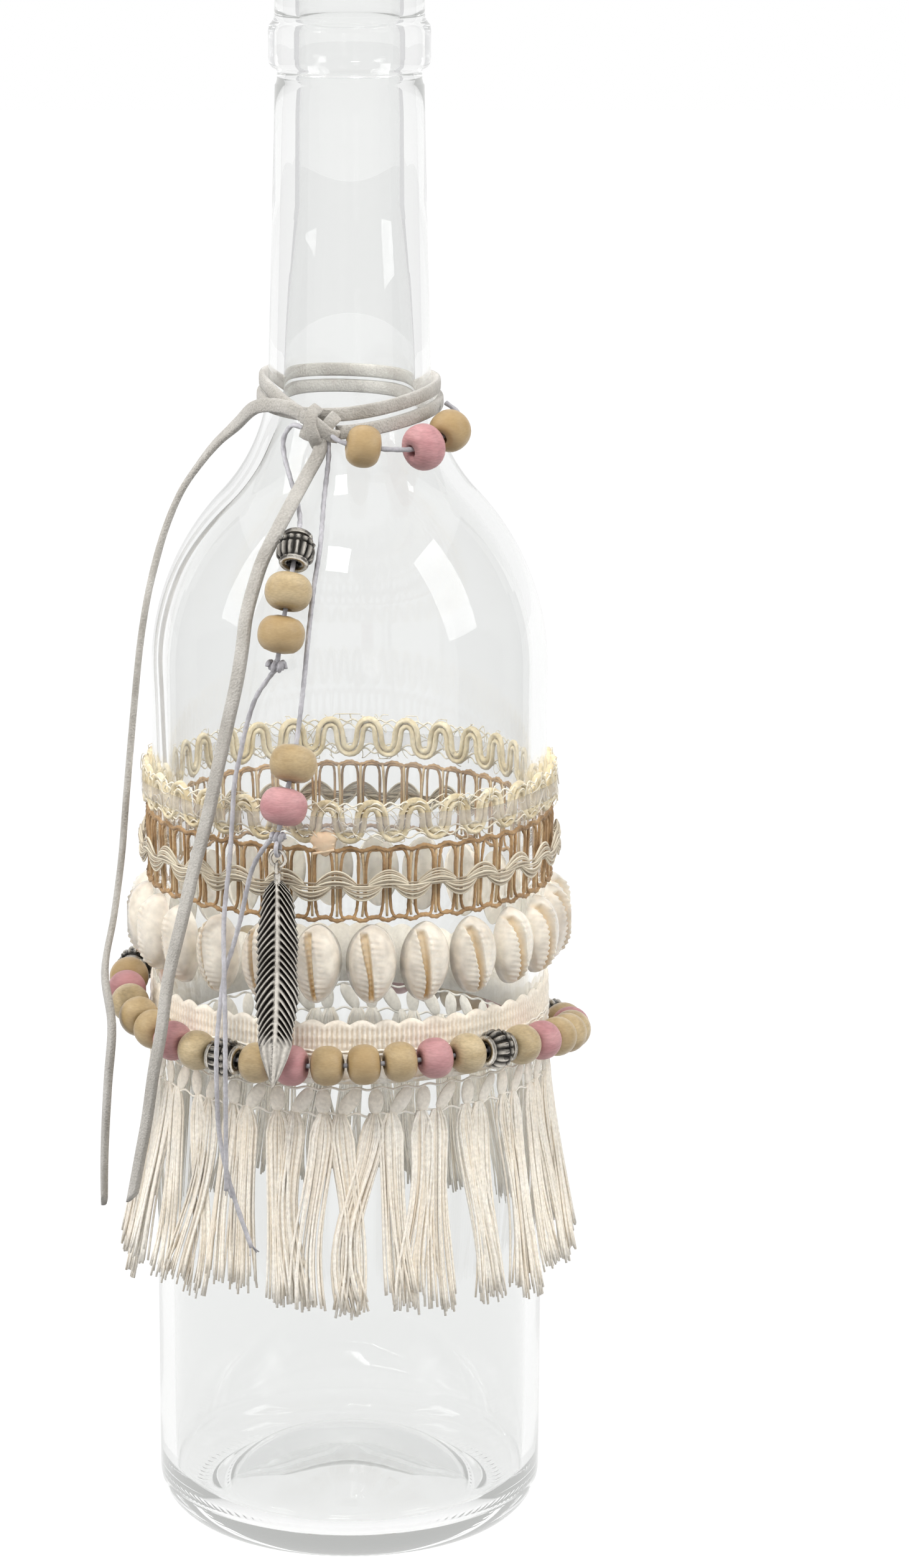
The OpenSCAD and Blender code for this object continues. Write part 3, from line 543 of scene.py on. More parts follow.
inner = ([(9.28, 298)] + [(9.25, z) for z in (285, 270, 255)] + [(9.9, 250), (11.0, 240), (11.75, 231)]
         + arcPoints(neckC, 36, 180, meet + 180, 24)
         + arcPoints(shoulder, 45, meet, 0, 26)[1:]
         + [(34.5, z) for z in np.linspace(155, 20, 8)]
         + arcPoints((27.5, 12.5), 7, 0, -75, 12)
         + [(26, 5.9), (22.5, 8.0), (18, 10.6), (12, 12.8), (6, 13.8), (0.01, 14)])
puntR = (26.7 ** 2 + 81) / 18
punt = [(0.01, 9.0)] + [(r, 9 - puntR + math.sqrt(puntR ** 2 - r * r)) for r in (5, 10, 15, 19, 22, 24.5, 26)]


def knurl(r, z, a):
    w = np.clip(1 - np.abs(r - 30.9) / 2.6, 0, 1) * (z < 4)
    return r, z + 0.5 * w * (0.5 + 0.5 * np.cos(a * 96))


# one closed skin: outer wall, mouth, inner wall with a closed floor, and the dome
full = outer + inner
skin = lathe(full, 288, wobble=knurl)
cap = [tuple(range((len(full) - 1) * 288, len(full) * 288))]
low = lathe(punt, 288)
vAll = np.concatenate([skin[0], low[0]])
off = len(skin[0])
fAll = skin[1] + cap + [tuple(i + off for i in f) for f in low[1]]
last = off + (len(punt) - 1) * 288
for s in range(288):
    t = (s + 1) % 288
    fAll.append((last + s, last + t, t, s))
fAll.append(tuple(off + s for s in range(287, -1, -1)))
bottle = meshObject("glass_bottle", [(vAll, fAll)], glassMat)
finish(bottle, "bottle", ["bottle"])
bottle.visible_shadow = False
print("stage glass")



def circlePath(n, radius, height):
    a = 2 * np.pi * np.arange(n) / n
    r = radius(a) if callable(radius) else np.full(n, radius)
    z = height(a) if callable(height) else np.full(n, height)
    return np.stack([r * np.cos(a), r * np.sin(a), z], -1)


# wavy cord: two cords side by side in round bends, with the fine threads that hold them
wave = dict(bends=30, radius=38.75, height=147.25, swing=2.95, overhang=0.5, cord=1.3, apart=0.6)
u = 2 * np.pi * np.arange(wave["bends"] * 22) / (wave["bends"] * 22)
ws = wave["radius"] * u + wave["overhang"] * np.sin(2 * wave["bends"] * u)
wz = wave["height"] + wave["swing"] * np.cos(wave["bends"] * u)
ds = np.roll(ws, -1) - np.roll(ws, 1)
ds[0] += 2 * np.pi * wave["radius"]
ds[-1] += 2 * np.pi * wave["radius"]
dz = np.roll(wz, -1) - np.roll(wz, 1)
run = np.hypot(ds, dz)
waveParts = []
for side in (-1, 1):
    q = (ws - side * wave["apart"] * dz / run) / wave["radius"]
    z = wz + side * wave["apart"] * ds / run
    waveParts.append(tube(np.stack([wave["radius"] * np.cos(q), wave["radius"] * np.sin(q), z], -1), wave["cord"], 1.5, 10,
                          closed=True, ply=3, plyPitch=0.8, plyDepth=0.13))
waveObj = meshObject("wave_cord", waveParts, mats["cream"])
finish(waveObj, "bottle", ["wave_braid"])
threads = []
for z, amp, f, ph in ((144.4, 0.5, 60, 0.3), (145.4, 0.4, 60, 2.0), (149.4, 0.5, 60, 1.1), (150.4, 0.3, 90, 0.2)):
    threads.append(tube(circlePath(600, lambda a: 39.2 + 0.2 * np.sin(a * 60 + ph), lambda a: z + amp * np.sin(a * f + ph)),
                        0.34, 0.3, 4, closed=True))
for i in range(170):
    a0 = rng.random() * 2 * np.pi
    t = np.linspace(0, 1, 14)
    span = (0.05 + 0.10 * rng.random()) * rng.choice([-1, 1])
    curl = 0.02 * np.sin(t * (5 + 4 * rng.random()) + rng.random() * 6)
    aa = a0 + span * t + curl
    rr = 39.0 + 0.9 * np.sin(np.pi * t) * rng.random()
    zz = np.clip(147.4 + rng.normal() * 2.2 + 1.6 * np.sin(t * (4 + 3 * rng.random()) + rng.random() * 6), 142.8, 151.7)
    threads.append(tube(np.stack([rr * np.cos(aa), rr * np.sin(aa), zz], -1), 0.2, 0.2, 3))
stripMat, sn, sl, sp = newMaterial("clearStrip")
sp.inputs["Base Color"].default_value = (0.62, 0.6, 0.63, 1)
sp.inputs["Alpha"].default_value = 0.16
sp.inputs["Roughness"].default_value = 0.3
sBump = sn.new("ShaderNodeBump")
sBump.inputs["Distance"].default_value = 0.0003
sNoise = sn.new("ShaderNodeTexNoise")
sNoise.inputs["Scale"].default_value = 400
sCoord = sn.new("ShaderNodeTexCoord")
sl.new(sCoord.outputs["Object"], sNoise.inputs["Vector"])
sl.new(sNoise.outputs["Fac"], sBump.inputs["Height"])
sl.new(sBump.outputs["Normal"], sp.inputs["Normal"])
strip = lathe([(39.72, 145.6), (39.8, 147.0), (39.74, 148.4), (39.7, 147.0)], 192, closedProfile=True,
              wobble=lambda r, z, a: (r, z + 0.25 * np.sin(a * 9)))
stripObj = meshObject("wave_strip", [strip], stripMat)
finish(stripObj, "bottle")
waveThreads = meshObject("wave_threads", threads, mats["creamThread"])
finish(waveThreads, "bottle")

# ladder: a row of tall round-cornered loops between two scalloped rails, with a paler cord between each two loops
ladder = dict(loops=52, radius=38.45, low=128.9, high=142.0)
rails = []
for z, amp in ((ladder["high"], 0.3), (ladder["low"], 0.35)):
    rails.append(tube(circlePath(1040, ladder["radius"], lambda a: z + amp * np.cos(a * ladder["loops"])), 0.95, 0.9, 6, closed=True,
                      ply=2, plyPitch=1.1, plyDepth=0.16, tone=0.12))
railObj = meshObject("ladder_rails", rails, mats["jute"])
finish(railObj, "bottle", ["ladder_braid"])


def ladderLoop():
    q = np.linspace(0, 2 * np.pi, 40, endpoint=False)
    half = 1.72 * (0.94 + 0.1 * rng.random())
    x = half * np.sign(np.cos(q)) * np.abs(np.cos(q)) ** 0.42 + 0.25 * rng.normal() * np.sin(q)
    z = 135.45 + 6.35 * np.sign(np.sin(q)) * np.abs(np.sin(q)) ** 0.5
    a = x / ladder["radius"]
    r = ladder["radius"] + 0.18 * np.sin(q * 3)
    loop = tube(np.stack([r * np.cos(a), r * np.sin(a), z], -1), 0.7, 0.7, 6, closed=True, ply=2, plyPitch=1.1, plyDepth=0.14, tone=0.1)
    t = np.linspace(0, 1, 11)
    b = (np.pi / ladder["loops"]) + 0.006 * rng.normal() * np.sin(np.pi * t) + 0.004 * rng.normal() * (t - 0.5)
    pale = tube(np.stack([38.3 * np.cos(b), 38.3 * np.sin(b), 129.3 + 12.4 * t], -1), 0.7, 0.65, 5, ply=2, plyPitch=1.2, plyDepth=0.14,
                tone=0.75)
    return [loop, pale]


rungObj = repeatRound("ladder_rungs", [ladderLoop() for _ in range(6)], ladder["loops"], mats["jute"], 5, 0.004, 0.0)
finish(rungObj, "bottle")

# loop braid: two rows of lens-shaped lobes, each a bundle of fine strands
lobe = dict(count=26, half=0.106, height=3.0, strands=8)


def lobePair():
    made = []
    for row in (-1, 1):
        a0 = 0.25 * row * 2 * np.pi / lobe["count"]
        wide = lobe["half"] * (0.95 + 0.1 * rng.random())
        tall = lobe["height"] * (0.88 + 0.2 * rng.random())
        for j in range(lobe["strands"]):
            t = np.linspace(-1, 1, 13)
            k = j / (lobe["strands"] - 1)
            zz = 135.4 + row * (-0.45 + (1 - t * t) * (0.2 + tall * k)) + 0.06 * rng.normal() * (1 - t * t)
            rr = 39.5 + (0.25 + 0.4 * np.sin(np.pi * k) + (0.12 if j % 2 else 0)) * np.clip(1 - t ** 4, 0, 1) + 0.04 * rng.normal()
            aa = a0 + t * wide
            made.append(tube(np.stack([rr * np.cos(aa), rr * np.sin(aa), zz], -1), 0.38, 0.38, 5, tone=np.clip((0.75 if j % 2 else 0.1) + 0.2 * rng.normal(), 0, 1)))
    return made


loops = repeatRound("loop_cords", [lobePair() for _ in range(5)], lobe["count"], mats["taupe"], 8, 0.006, 0.15)
finish(loops, "bottle", ["loop_braid"])

# glue and wrapped cord where the ends meet
joinA = math.radians(-97)
joinAt = np.array([38.9 * math.cos(joinA), 38.9 * math.sin(joinA), 143.6])
blob = lathe([(0.01, 1.0), (0.9, 0.92), (1.7, 0.7), (2.4, 0.2), (2.6, -0.4), (0.01, -0.5)], 32,
             wobble=lambda r, z, a: (r * (1 + 0.12 * np.sin(3 * a) + 0.06 * np.sin(7 * a)), z))
blob = (blob[0], blob[1], np.full(len(blob[0]), 0.9))
joinParts = [place(blob, joinAt, (math.cos(joinA), math.sin(joinA), 0))]
for i in range(2):
    t = np.linspace(-1, 1, 9)
    dz = -2.1 + 1.0 * i
    aa = joinA + 0.05 * t
    rr = 39.2 + 0.3 * (1 - t * t)
    joinParts.append(tube(np.stack([rr * np.cos(aa), rr * np.sin(aa), 143.8 + dz + 0.4 * t], -1), 0.6, 0.6, 6, ply=2, plyPitch=1, tone=0.85))
join = meshObject("braid_join_piece", joinParts, mats["glue"])
finish(join, "bottle", ["braid_join"])
print("stage braids")


# shells: a narrow lip with teeth, a slit that runs askew and a broad smooth lobe, on a flat back
def cowrie(seed):
    r = np.random.default_rng(seed)
    nu, nd, nb = 64, 46, 4
    length, width, depth = 15.0 * (0.975 + 0.025 * r.random()), 9.6 * (0.95 + 0.05 * r.random()), 4.9
    mid = -0.12 + 0.06 * r.normal()
    askew = 0.17 + 0.06 * r.random()
    q = np.linspace(-1, 1, nd)
    q = np.clip(mid + (q - mid) * (0.42 + 0.58 * np.abs(q - mid) ** 1.3), -1, 1)
    q[0], q[-1] = -1, 1
    ang = np.concatenate([np.arccos(q)[::-1], np.linspace(np.pi, 2 * np.pi, nb + 2)[1:-1]])
    s = np.cos(np.linspace(np.pi, 0, nu))
    S, A = np.meshgrid(s, ang, indexing="ij")
    half = np.clip(1 - np.abs(S) ** 2.0, 0, 1) ** 0.56 * (1 + 0.08 * S)
    half = half / 1.003
    xn = np.cos(A)
    x = width / 2 * half * xn
    up = np.sin(A) > 1e-9
    y = np.where(up, depth * half ** 0.75 * np.abs(np.sin(A)) ** 0.8, 0)
    z = S * length / 2
    d = x - (mid - askew * S) * width / 2
    gape = 0.6 + 0.7 * np.clip((S + 0.4) / 1.2, 0, 1) + 0.1 * np.sin(S * 5 + seed)
    along = np.clip((0.9 - np.abs(S + 0.02)) / 0.16, 0, 1) * up

    def rise(v, a, b):
        t = np.clip((v - a) / (b - a), 0, 1)
        return t * t * (3 - 2 * t)

    slit = rise(d, -gape - 0.3, -gape + 0.05) * (1 - rise(d, -0.12, 0.16)) * along
    teeth = (np.exp(-((d + gape + 0.15) / 0.5) ** 2) + 0.8 * np.exp(-((d - 0.3) / 0.45) ** 2)) * along * (0.5 + 0.5 * np.cos(z * 5.8))
    roll = np.exp(-((d - 0.55) / 0.5) ** 2) * along
    ribs = np.exp(-((np.abs(d + 0.3) - 1.5) / 1.1) ** 2) * along * np.cos(z * 5.8 + 0.8 * d)
    left = 1 - rise(d, -0.12, 0.16)
    y = y - 0.13 * y * left * along - 1.5 * slit + 0.4 * teeth + 0.2 * roll + 0.1 * ribs
    y = np.clip(y, 0, depth)
    tone = np.clip(slit * (0.5 + 0.5 * np.clip(0.3 - S, 0, 1)) - 0.5 * teeth * slit + 0.06 * ribs, 0, 1)
    verts = np.stack([x, y, z], -1).reshape(-1, 3)
    nv = len(ang)
    faces = []
    for i in range(nu - 1):
        for j in range(nv):
            k = (j + 1) % nv
            faces.append((i * nv + j, (i + 1) * nv + j, (i + 1) * nv + k, i * nv + k))
    return verts, faces, tone.ravel()


for i in range(24):
    v, f, t = cowrie(100 + i)
    # x across, y outwards, z up; a little tilt for each
    tilt = math.radians(rng.normal() * 3.5)
    x = v[:, 0] * math.cos(tilt) + v[:, 2] * math.sin(tilt)
    z = -v[:, 0] * math.sin(tilt) + v[:, 2] * math.cos(tilt)
    z = np.clip(z, -7.5, 7.5)
    a = math.radians(-84 + 15 * i)
    out = np.array([math.cos(a), math.sin(a), 0])
    tan = np.array([-math.sin(a), math.cos(a), 0])
    pos = out[None, :] * (37.85 + v[:, 1])[:, None] + tan[None, :] * x[:, None] + np.array([0, 0, 1])[None, :] * (120.25 + z)[:, None]
    name = "shell_%02d" % (i + 1)
    obj = meshObject(name + "_piece", [(pos, f, t)], mats["shell"])
    finish(obj, "bottle", [name])
print("stage shells")

# header of the fringe: a knitted band, bundles shaped like leaves, and two rows of thread
cols, rows = 1560, 22
a = 2 * np.pi * np.arange(cols) / cols
zz = np.linspace(97.2, 108.6, rows)
A, Z = np.meshgrid(a, zz)
t = (Z - 97.2) / 11.4
scallop = 0.9 * np.abs(np.sin(A * 26))
comb = np.cos(A * 260) * np.clip((t - 0.55) / 0.1, 0, 1) * np.clip((0.97 - t) / 0.1, 0, 1)
leaf = np.cos(A * 52 + np.where(t < 0.55, (t - 0.3) * 9, 0)) * np.clip((0.58 - t) / 0.08, 0, 1)
R = 38.25 + 0.14 * comb + 0.24 * leaf + 0.1 * np.cos(t * 40)
R[0] = R[-1] = 38.0
ZZ = Z + scallop * np.clip((t - 0.8) / 0.2, 0, 1)
front = np.stack([R * np.cos(A), R * np.sin(A), ZZ], -1).reshape(-1, 3)
back = np.stack([37.85 * np.cos(A), 37.85 * np.sin(A), ZZ], -1)[[0, -1]].reshape(-1, 3)
hv = np.concatenate([front, back])
hf = []
for i in range(rows - 1):
    for j in range(cols):
        k = (j + 1) % cols
        hf.append((i * cols + j, i * cols + k, (i + 1) * cols + k, (i + 1) * cols + j))
b0, b1 = rows * cols, (rows + 1) * cols
for j in range(cols):
    k = (j + 1) % cols
    hf.append((b0 + j, b0 + k, k, j))
    hf.append(((rows - 1) * cols + j, (rows - 1) * cols + k, b1 + k, b1 + j))
    hf.append((b1 + j, b1 + k, b0 + k, b0 + j))
# painted shade: the hollows of the knit and leaf relief, and the band's back, get more of the darker cotton tone
hollowShade = np.clip(0.35 - 0.5 * (comb + leaf), 0, 0.8).ravel()
header = [(hv, hf, np.concatenate([hollowShade, np.full(2 * cols, 0.4)]))]
for z, amp in ((96.4, 0.25), (91.3, 0.35), (98.2, 0.2), (102.8, 0.15), (103.6, 0.15)):
    header.append(tube(circlePath(520, 38.35, lambda q: z + amp * np.sin(q * 52)), 0.45, 0.4, 4, closed=True))
headerObj = meshObject("fringe_band", header, mats["cotton"])
finish(headerObj, "bottle", ["fringe_header"])

# between the two threads stand bundles shaped like leaves, by turns upright and slanting
fringe = dict(units=26, low=91.3, high=96.4, drop=36.6, strands=19, thick=0.5, flare=6.4)


def leafPair():
    made = []
    t = np.linspace(-1, 1, 9)
    for x0, x1 in ((0.0, 0.1), (3.1, 6.6)):
        x = x0 + (x1 - x0) * (t + 1) / 2 + 0.35 * (1 - t * t) * rng.normal() * 0.5
        z = (fringe["low"] + fringe["high"]) / 2 + t * 2.6
        a = x / 38.3
        swell = 0.2 + 0.8 * np.clip(1 - t ** 2, 0, 1) ** 0.6
        made.append(tube(np.stack([38.3 * np.cos(a), 38.3 * np.sin(a), z], -1), 2.9 + 0.4 * rng.random(), 0.85, 20, ply=9, plyPitch=60,
                         plyDepth=0.07, taper=swell, tone=0.12 + 0.15 * rng.random()))
    return made


leafObj = repeatRound("fringe_leaves", [leafPair() for _ in range(5)], fringe["units"], mats["cotton"], 4, 0.008, 0.0)
finish(leafObj, "bottle")


# below the lower thread each bundle opens into strands that keep together, part and fall free
def tuftPair():
    made = []
    for x0 in (0.0, 3.1):
        drop = fringe["drop"] + rng.normal() * 1.2
        lean, bow, beat = rng.normal() * 1.6 + (0.5 if x0 else -0.2), rng.normal() * 1.5, rng.random() * 6.28
        pinch = 0.45 + 0.45 * rng.random()
        flare = fringe["flare"] + 0.5 * rng.normal()
        for k in range(fringe["strands"]):
            off = (k - (fringe["strands"] - 1) / 2) / ((fringe["strands"] - 1) / 2)
            loose = rng.random() < 0.22
            end = drop + rng.normal() * 0.9 - 0.8 * off * off
            layer = rng.random()
            t = np.linspace(0, 1, 13) ** 1.15
            grown = 0.75 + 1.5 * np.clip(t / 0.12, 0, 1) ** 0.6 - (1 - pinch) * 0.9 * np.sin(np.pi * t) ** 2 + 0.8 * t ** 3
            x = x0 + off * grown + lean * t ** 1.4 + bow * (np.sin(t * 4.2 + beat) - math.sin(beat)) * t ** 0.7
            x = x + (rng.normal() * 1.4 * t ** 1.6 * np.sin(t * 4 + rng.random() * 3) if loose else rng.normal() * 0.35 * t)
            r = 38.2 + 0.5 * layer + (flare - 0.8) * t ** 1.35 + 1.1 * (layer - 0.5) * t
            r[0] = 38.2 + 0.35 * layer
            r = np.clip(r, 38.1, 45.4)
            z = fringe["low"] + 0.3 - end * t
            a = x / r
            # painted shade: strands of the inner layer, nearest the bottle, get 0.25 more of the darker cotton tone
            made.append(tube(np.stack([r * np.cos(a), r * np.sin(a), z], -1), fringe["thick"], fringe["thick"], 4,
                             tone=np.clip(0.12 + rng.normal() * 0.16 + (0.25 if layer < 0.25 else 0), 0, 0.9)))
    return made


tasselObj = repeatRound("fringe_strands", [tuftPair() for _ in range(9)], fringe["units"], mats["cotton"], 6, 0.012, 0.0)
finish(tasselObj, "bottle", ["fringe_tassels"])
print("stage fringe")


# beads
def woodBead(r, length, bore, seed):
    g = np.random.default_rng(seed)
    prof = []
    for t in np.linspace(-1, 1, 19):
        rad = bore + (r - bore) * (1 - abs(t) ** 2.25) ** 0.5
        prof.append((rad, t * length / 2))
    prof += [(bore * 0.96, length / 2 - 0.5), (bore * 0.96, 0.5 - length / 2)]
    tone = float(np.clip(0.2 + 0.3 * g.normal(), 0, 0.7))
    return lathe(prof, 32, closedProfile=True, tone=np.full(len(prof), tone))


def metalBead(r, length, bore):
    prof, tones = [], []
    for t in np.linspace(-1, 1, 49):
        rim = abs(t) > 0.72
        rad = r * (0.70 + 0.06 * math.cos((abs(t) - 0.72) * 60)) if rim else r * (1 - 0.30 * abs(t) ** 2.4)
        prof.append((rad, t * length / 2))
        tones.append(0.0)
    prof += [(bore, length / 2 - 0.2), (bore, 0.2 - length / 2)]
    tones += [1.0, 1.0]
    n = 96

    def relief(rr, zz, a):
        t = zz / (length / 2)
        band = np.exp(-((t - 0.38) / 0.20) ** 2)
        balls = np.abs(np.cos(a * 7)) * np.clip(1 - ((t - 0.38) / 0.22) ** 2, 0, 1)
        ribs = (0.5 + 0.5 * np.cos(a * 14)) * np.clip(1 - ((t + 0.28) / 0.46) ** 4, 0, 1)
        rims = 0.4 * (0.5 + 0.5 * np.cos(a * 20)) * (np.abs(t) > 0.72)
        solid = (np.arange(rr.shape[0]) < 49)[:, None]
        cut = 0.62 * (1 - np.clip(balls * band + ribs * (t < 0.14) + rims, 0, 1)) * (np.abs(t) < 0.72)
        relief.low = np.clip(cut / 0.5, 0, 1) * solid + (1 - solid)
        return rr - cut * solid, zz

    v, f, _ = lathe(prof, n, closedProfile=True, wobble=relief)
    return v, f, np.clip(relief.low.ravel() * 0.95, 0, 1)


def ringPoint(deg):
    q = math.radians(deg)
    z = 101.5 - 4.3 * (math.cos(q) + 0.28 * math.sin(q)) - 3.1 * (math.sin(2 * q) - 0.13 * math.cos(2 * q))
    return np.array([42.9 * math.cos(q), 42.9 * math.sin(q), z])


pattern = "pwmwpwww"
kinds = {"w": ("ring_beads_wood", "wood", "pale_wood"), "p": ("ring_beads_pink", "pink", "pink_bead"),
         "m": ("ring_beads_metal", "metal", "antique_metal")}
groups = {"w": [], "p": [], "m": []}
for i in range(40):
    deg = 3.5 + 9 * i
    kind = pattern[i % 8]
    part = metalBead(3.8, 6.2, 1.1) if kind == "m" else woodBead(3.8 * (0.97 + 0.03 * rng.random()), 6.2, 1.1, 300 + i)
    groups[kind].append(place(part, ringPoint(deg), ringPoint(deg + 1) - ringPoint(deg - 1), rng.random() * 6))
for kind, (node, mat, slotName) in kinds.items():
    obj = meshObject(node + "_piece", groups[kind], mats[mat])
    finish(obj, "bead_ring", [node])
stringPath = np.array([ringPoint(d) for d in np.arange(0, 360, 1.0)])
stringObj = meshObject("ring_string_piece", [tube(stringPath, 0.9, 0.9, 6, closed=True)], mats["cord"])
finish(stringObj, "bead_ring", ["ring_string"])

threaded = [
    ("neck_bead_wood_1", "neck_cord", 2, "wood", 3.9, 6.4), ("neck_bead_pink", "neck_cord", 4, "pink", 4.3, 6.4),
    ("neck_bead_wood_2", "neck_cord", 5, "wood", 3.9, 6.4), ("drop_1_bead_metal", "drop_1_cord", 7, "metal", 3.6, 6.6),
    ("drop_1_bead_wood_1", "drop_1_cord", 8, "wood", 4.3, 6.8), ("drop_1_bead_wood_2", "drop_1_cord", 9, "wood", 4.3, 6.8),
    ("drop_2_bead_wood", "drop_2_cord", 9, "wood", 4.3, 6.8), ("drop_2_bead_pink", "drop_2_cord", 10, "pink", 4.3, 6.8),
]
for j, (node, route, i, kind, r, length) in enumerate(threaded):
    p = np.array(routes[route], float)
    part = metalBead(r, length, 1.2) if kind == "metal" else woodBead(r, length, 1.2, 500 + j)
    if node.startswith("neck") and kind == "wood":
        part = (part[0], part[1], np.full(len(part[0]), 0.65))
    axis = p[i + 1] - p[i - 1]
    if kind == "metal":
        axis = -axis
    obj = meshObject(node + "_piece", [place(part, p[i], axis, 0.4 * j)], mats[kind])
    finish(obj, node, [node])
print("stage beads")

# the lace's winding and its knot
turn = math.radians(-107)


def neckGlass(z):
    return 48.1 - math.sqrt(33 ** 2 - min(33 ** 2, (neckC[1] - z) ** 2)) if z < neckC[1] else 15.1


windRings = 220
wind = []
for i in range(windRings + 1):
    u = i / windRings
    q = -107 + 9 + 702 * u
    dip = 3 * ((1 + math.cos(math.radians(q + 107))) / 2) ** 3
    tuck = min(1, max(0, (q - 556) / 48)) ** 1.6
    z = 221.2 + (u - 0.5) * 6.2 - dip - 3.6 * tuck
    r = neckGlass(z - 1.3) + 0.4 + 0.65 + 0.9 * tuck
    wind.append((r * math.cos(math.radians(q)), r * math.sin(math.radians(q)), z))
wind = np.array(wind)
windObj = meshObject("lace_winding", [tube(wind, 2.6, 1.25, 12, square=True, tone=0.1)], mats["suede"])
finish(windObj, "neck_tie", ["neck_lace"])

knotAt = np.array([-5.6, -18.3, 216.0])
tanK = np.array([math.cos(turn + math.pi / 2), math.sin(turn + math.pi / 2), 0])
outK = np.array([math.cos(turn), math.sin(turn), 0])
upK = np.array([0, 0, 1.0])


def knotPath(points):
    return np.array([knotAt + tanK * x + outK * y + upK * z for x, y, z in catmull(points, 8)])


knotParts = [
    tube(knotPath([(-3.2, -0.3, 2.0), (-1.6, 1.0, 1.8), (0.6, 1.7, 0.6), (2.2, 1.0, -0.9), (3.4, -0.4, -1.4)]), 2.5, 1.2, 12, square=True),
    tube(knotPath([(-3.3, -0.2, -0.6), (-1.4, 0.4, -1.2), (0.8, 0.6, -0.4), (2.4, 0.5, 1.4), (3.2, -0.5, 2.4)]), 2.4, 1.2, 12, square=True),
    tube(knotPath([(-0.4, -0.7, 3.6), (-0.9, 1.4, 2.8), (-0.9, 2.3, 0.8), (-0.3, 2.2, -1.2), (0.0, 0.9, -2.9), (0.2, -0.6, -3.4)]), 2.4, 1.2, 12, square=True, tone=0.1),
]
knotObj = meshObject("lace_knot_piece", knotParts, mats["suede"])
finish(knotObj, "neck_tie", ["lace_knot"])


def cordKnot(at, across, size):
    at = np.array(at, float)
    across = unit(across)
    out = unit([at[0], at[1], 0])
    up = unit(np.cross(out, across))
    pts = []
    for q in np.linspace(0, 2 * np.pi * 2.6, 60):
        w = q / (2 * np.pi * 2.6)
        pts.append(at + across * (w - 0.5) * 2 * size + (out * math.cos(q) + up * math.sin(q)) * size * 0.52)
    core = [at + across * t * size * 0.9 for t in np.linspace(-1, 1, 5)]
    return [tube(np.array(pts), 0.95, 0.95, 8, ply=2, plyPitch=1.4), tube(np.array(core), 1.5, 1.5, 8)]


k1 = meshObject("drop_1_knot_piece", cordKnot(routes["drop_1_cord"][10], tanK, 1.5), mats["cord"])
finish(k1, "neck_tie", ["drop_1_knot"])

charmAt = np.array([-13.0, -43.6, 143.4])
charmA = math.atan2(charmAt[1], charmAt[0])
tanC = np.array([math.cos(charmA + math.pi / 2), math.sin(charmA + math.pi / 2), 0])
outC = np.array([math.cos(charmA), math.sin(charmA), 0])


def ringTube(centre, e1, e2, big, small, n=40, sides=10, ply=0):
    q = 2 * np.pi * np.arange(n) / n
    p = centre + np.outer(np.cos(q), e1) * big + np.outer(np.sin(q), e2) * big
    rad = np.outer(np.cos(q), e1) + np.outer(np.sin(q), e2)
    nrm = np.cross(e1, e2)
    ang = 2 * np.pi * np.arange(sides) / sides
    verts = (p[:, None, :] + rad[:, None, :] * (small * np.cos(ang))[None, :, None] + nrm[None, None, :] * (small * np.sin(ang))[None, :, None])
    faces = []
    for i in range(n):
        j = (i + 1) % n
        for s in range(sides):
            t = (s + 1) % sides
            faces.append((i * sides + s, j * sides + s, j * sides + t, i * sides + t))
    return verts.reshape(-1, 3), faces, np.zeros(n * sides)


k2Parts = cordKnot(charmAt + upK * 2.1, tanC, 1.15)
k2Parts.append(ringTube(charmAt, outC, upK, 1.3, 0.4))
k2 = meshObject("drop_2_knot_piece", k2Parts, mats["cord"])
finish(k2, "neck_tie", ["drop_2_knot"])

bailMid = 1.3 - 0.4 - 0.35 - 0.15 + 1.45
eyeMid = bailMid + 1.45 + 1.1 - 0.7 - 0.15
bail = meshObject("bail_ring_piece", [ringTube(charmAt - upK * bailMid, tanC, upK, 1.45, 0.34, 56, 12)], mats["metal"])
finish(bail, "feather_charm", ["bail_ring"])

# feather: rib, slanted barbs with notches between them, a slight sideways bow
nu, nv = 320, 65
L, W, T = 38.5, 8.8, 0.55
u = np.linspace(0.0, 1, nu)
v = np.linspace(-1, 1, nv)
U, V = np.meshgrid(u, v, indexing="ij")
shape = np.interp(U, [0, 0.03, 0.07, 0.13, 0.3, 0.53, 0.67, 0.78, 0.86, 0.93, 1], [0.12, 0.42, 0.66, 0.82, 0.94, 1, 0.94, 0.78, 0.58, 0.34, 0.06])
barb = U * 27 - 2.5 * np.abs(V) - 1.1 * V * V + 0.25 * np.sin(U * 17)
plain = np.clip((U - 0.74) / 0.07, 0, 1)
ridge = 0.5 + 0.5 * np.cos(2 * np.pi * barb)
edge = 1 - 0.1 * (1 - ridge) * np.abs(V) ** 8 * (1 - plain) - 0.04 * (1 - np.cos(U * 22)) * (1 - plain)
half = W / 2 * shape * edge
X = V * half + 0.8 * np.sin(U * 3.1) * 0.4
flatness = 0.25 + 0.75 * np.clip(1 - np.abs(V) ** 3, 0, 1)
groove = (1 - ridge) ** 0.9 * np.clip(np.abs(V) * 7 - 0.4, 0, 1) * (1 - plain)
line = plain * (0.5 + 0.5 * np.cos(V * 14)) * 0.8
H = T * flatness - 0.42 * groove
H = np.maximum(H, 0.08)
rib = np.exp(-(V * half / 0.36) ** 2)
H = H + 0.38 * rib * (1 - 0.6 * U)
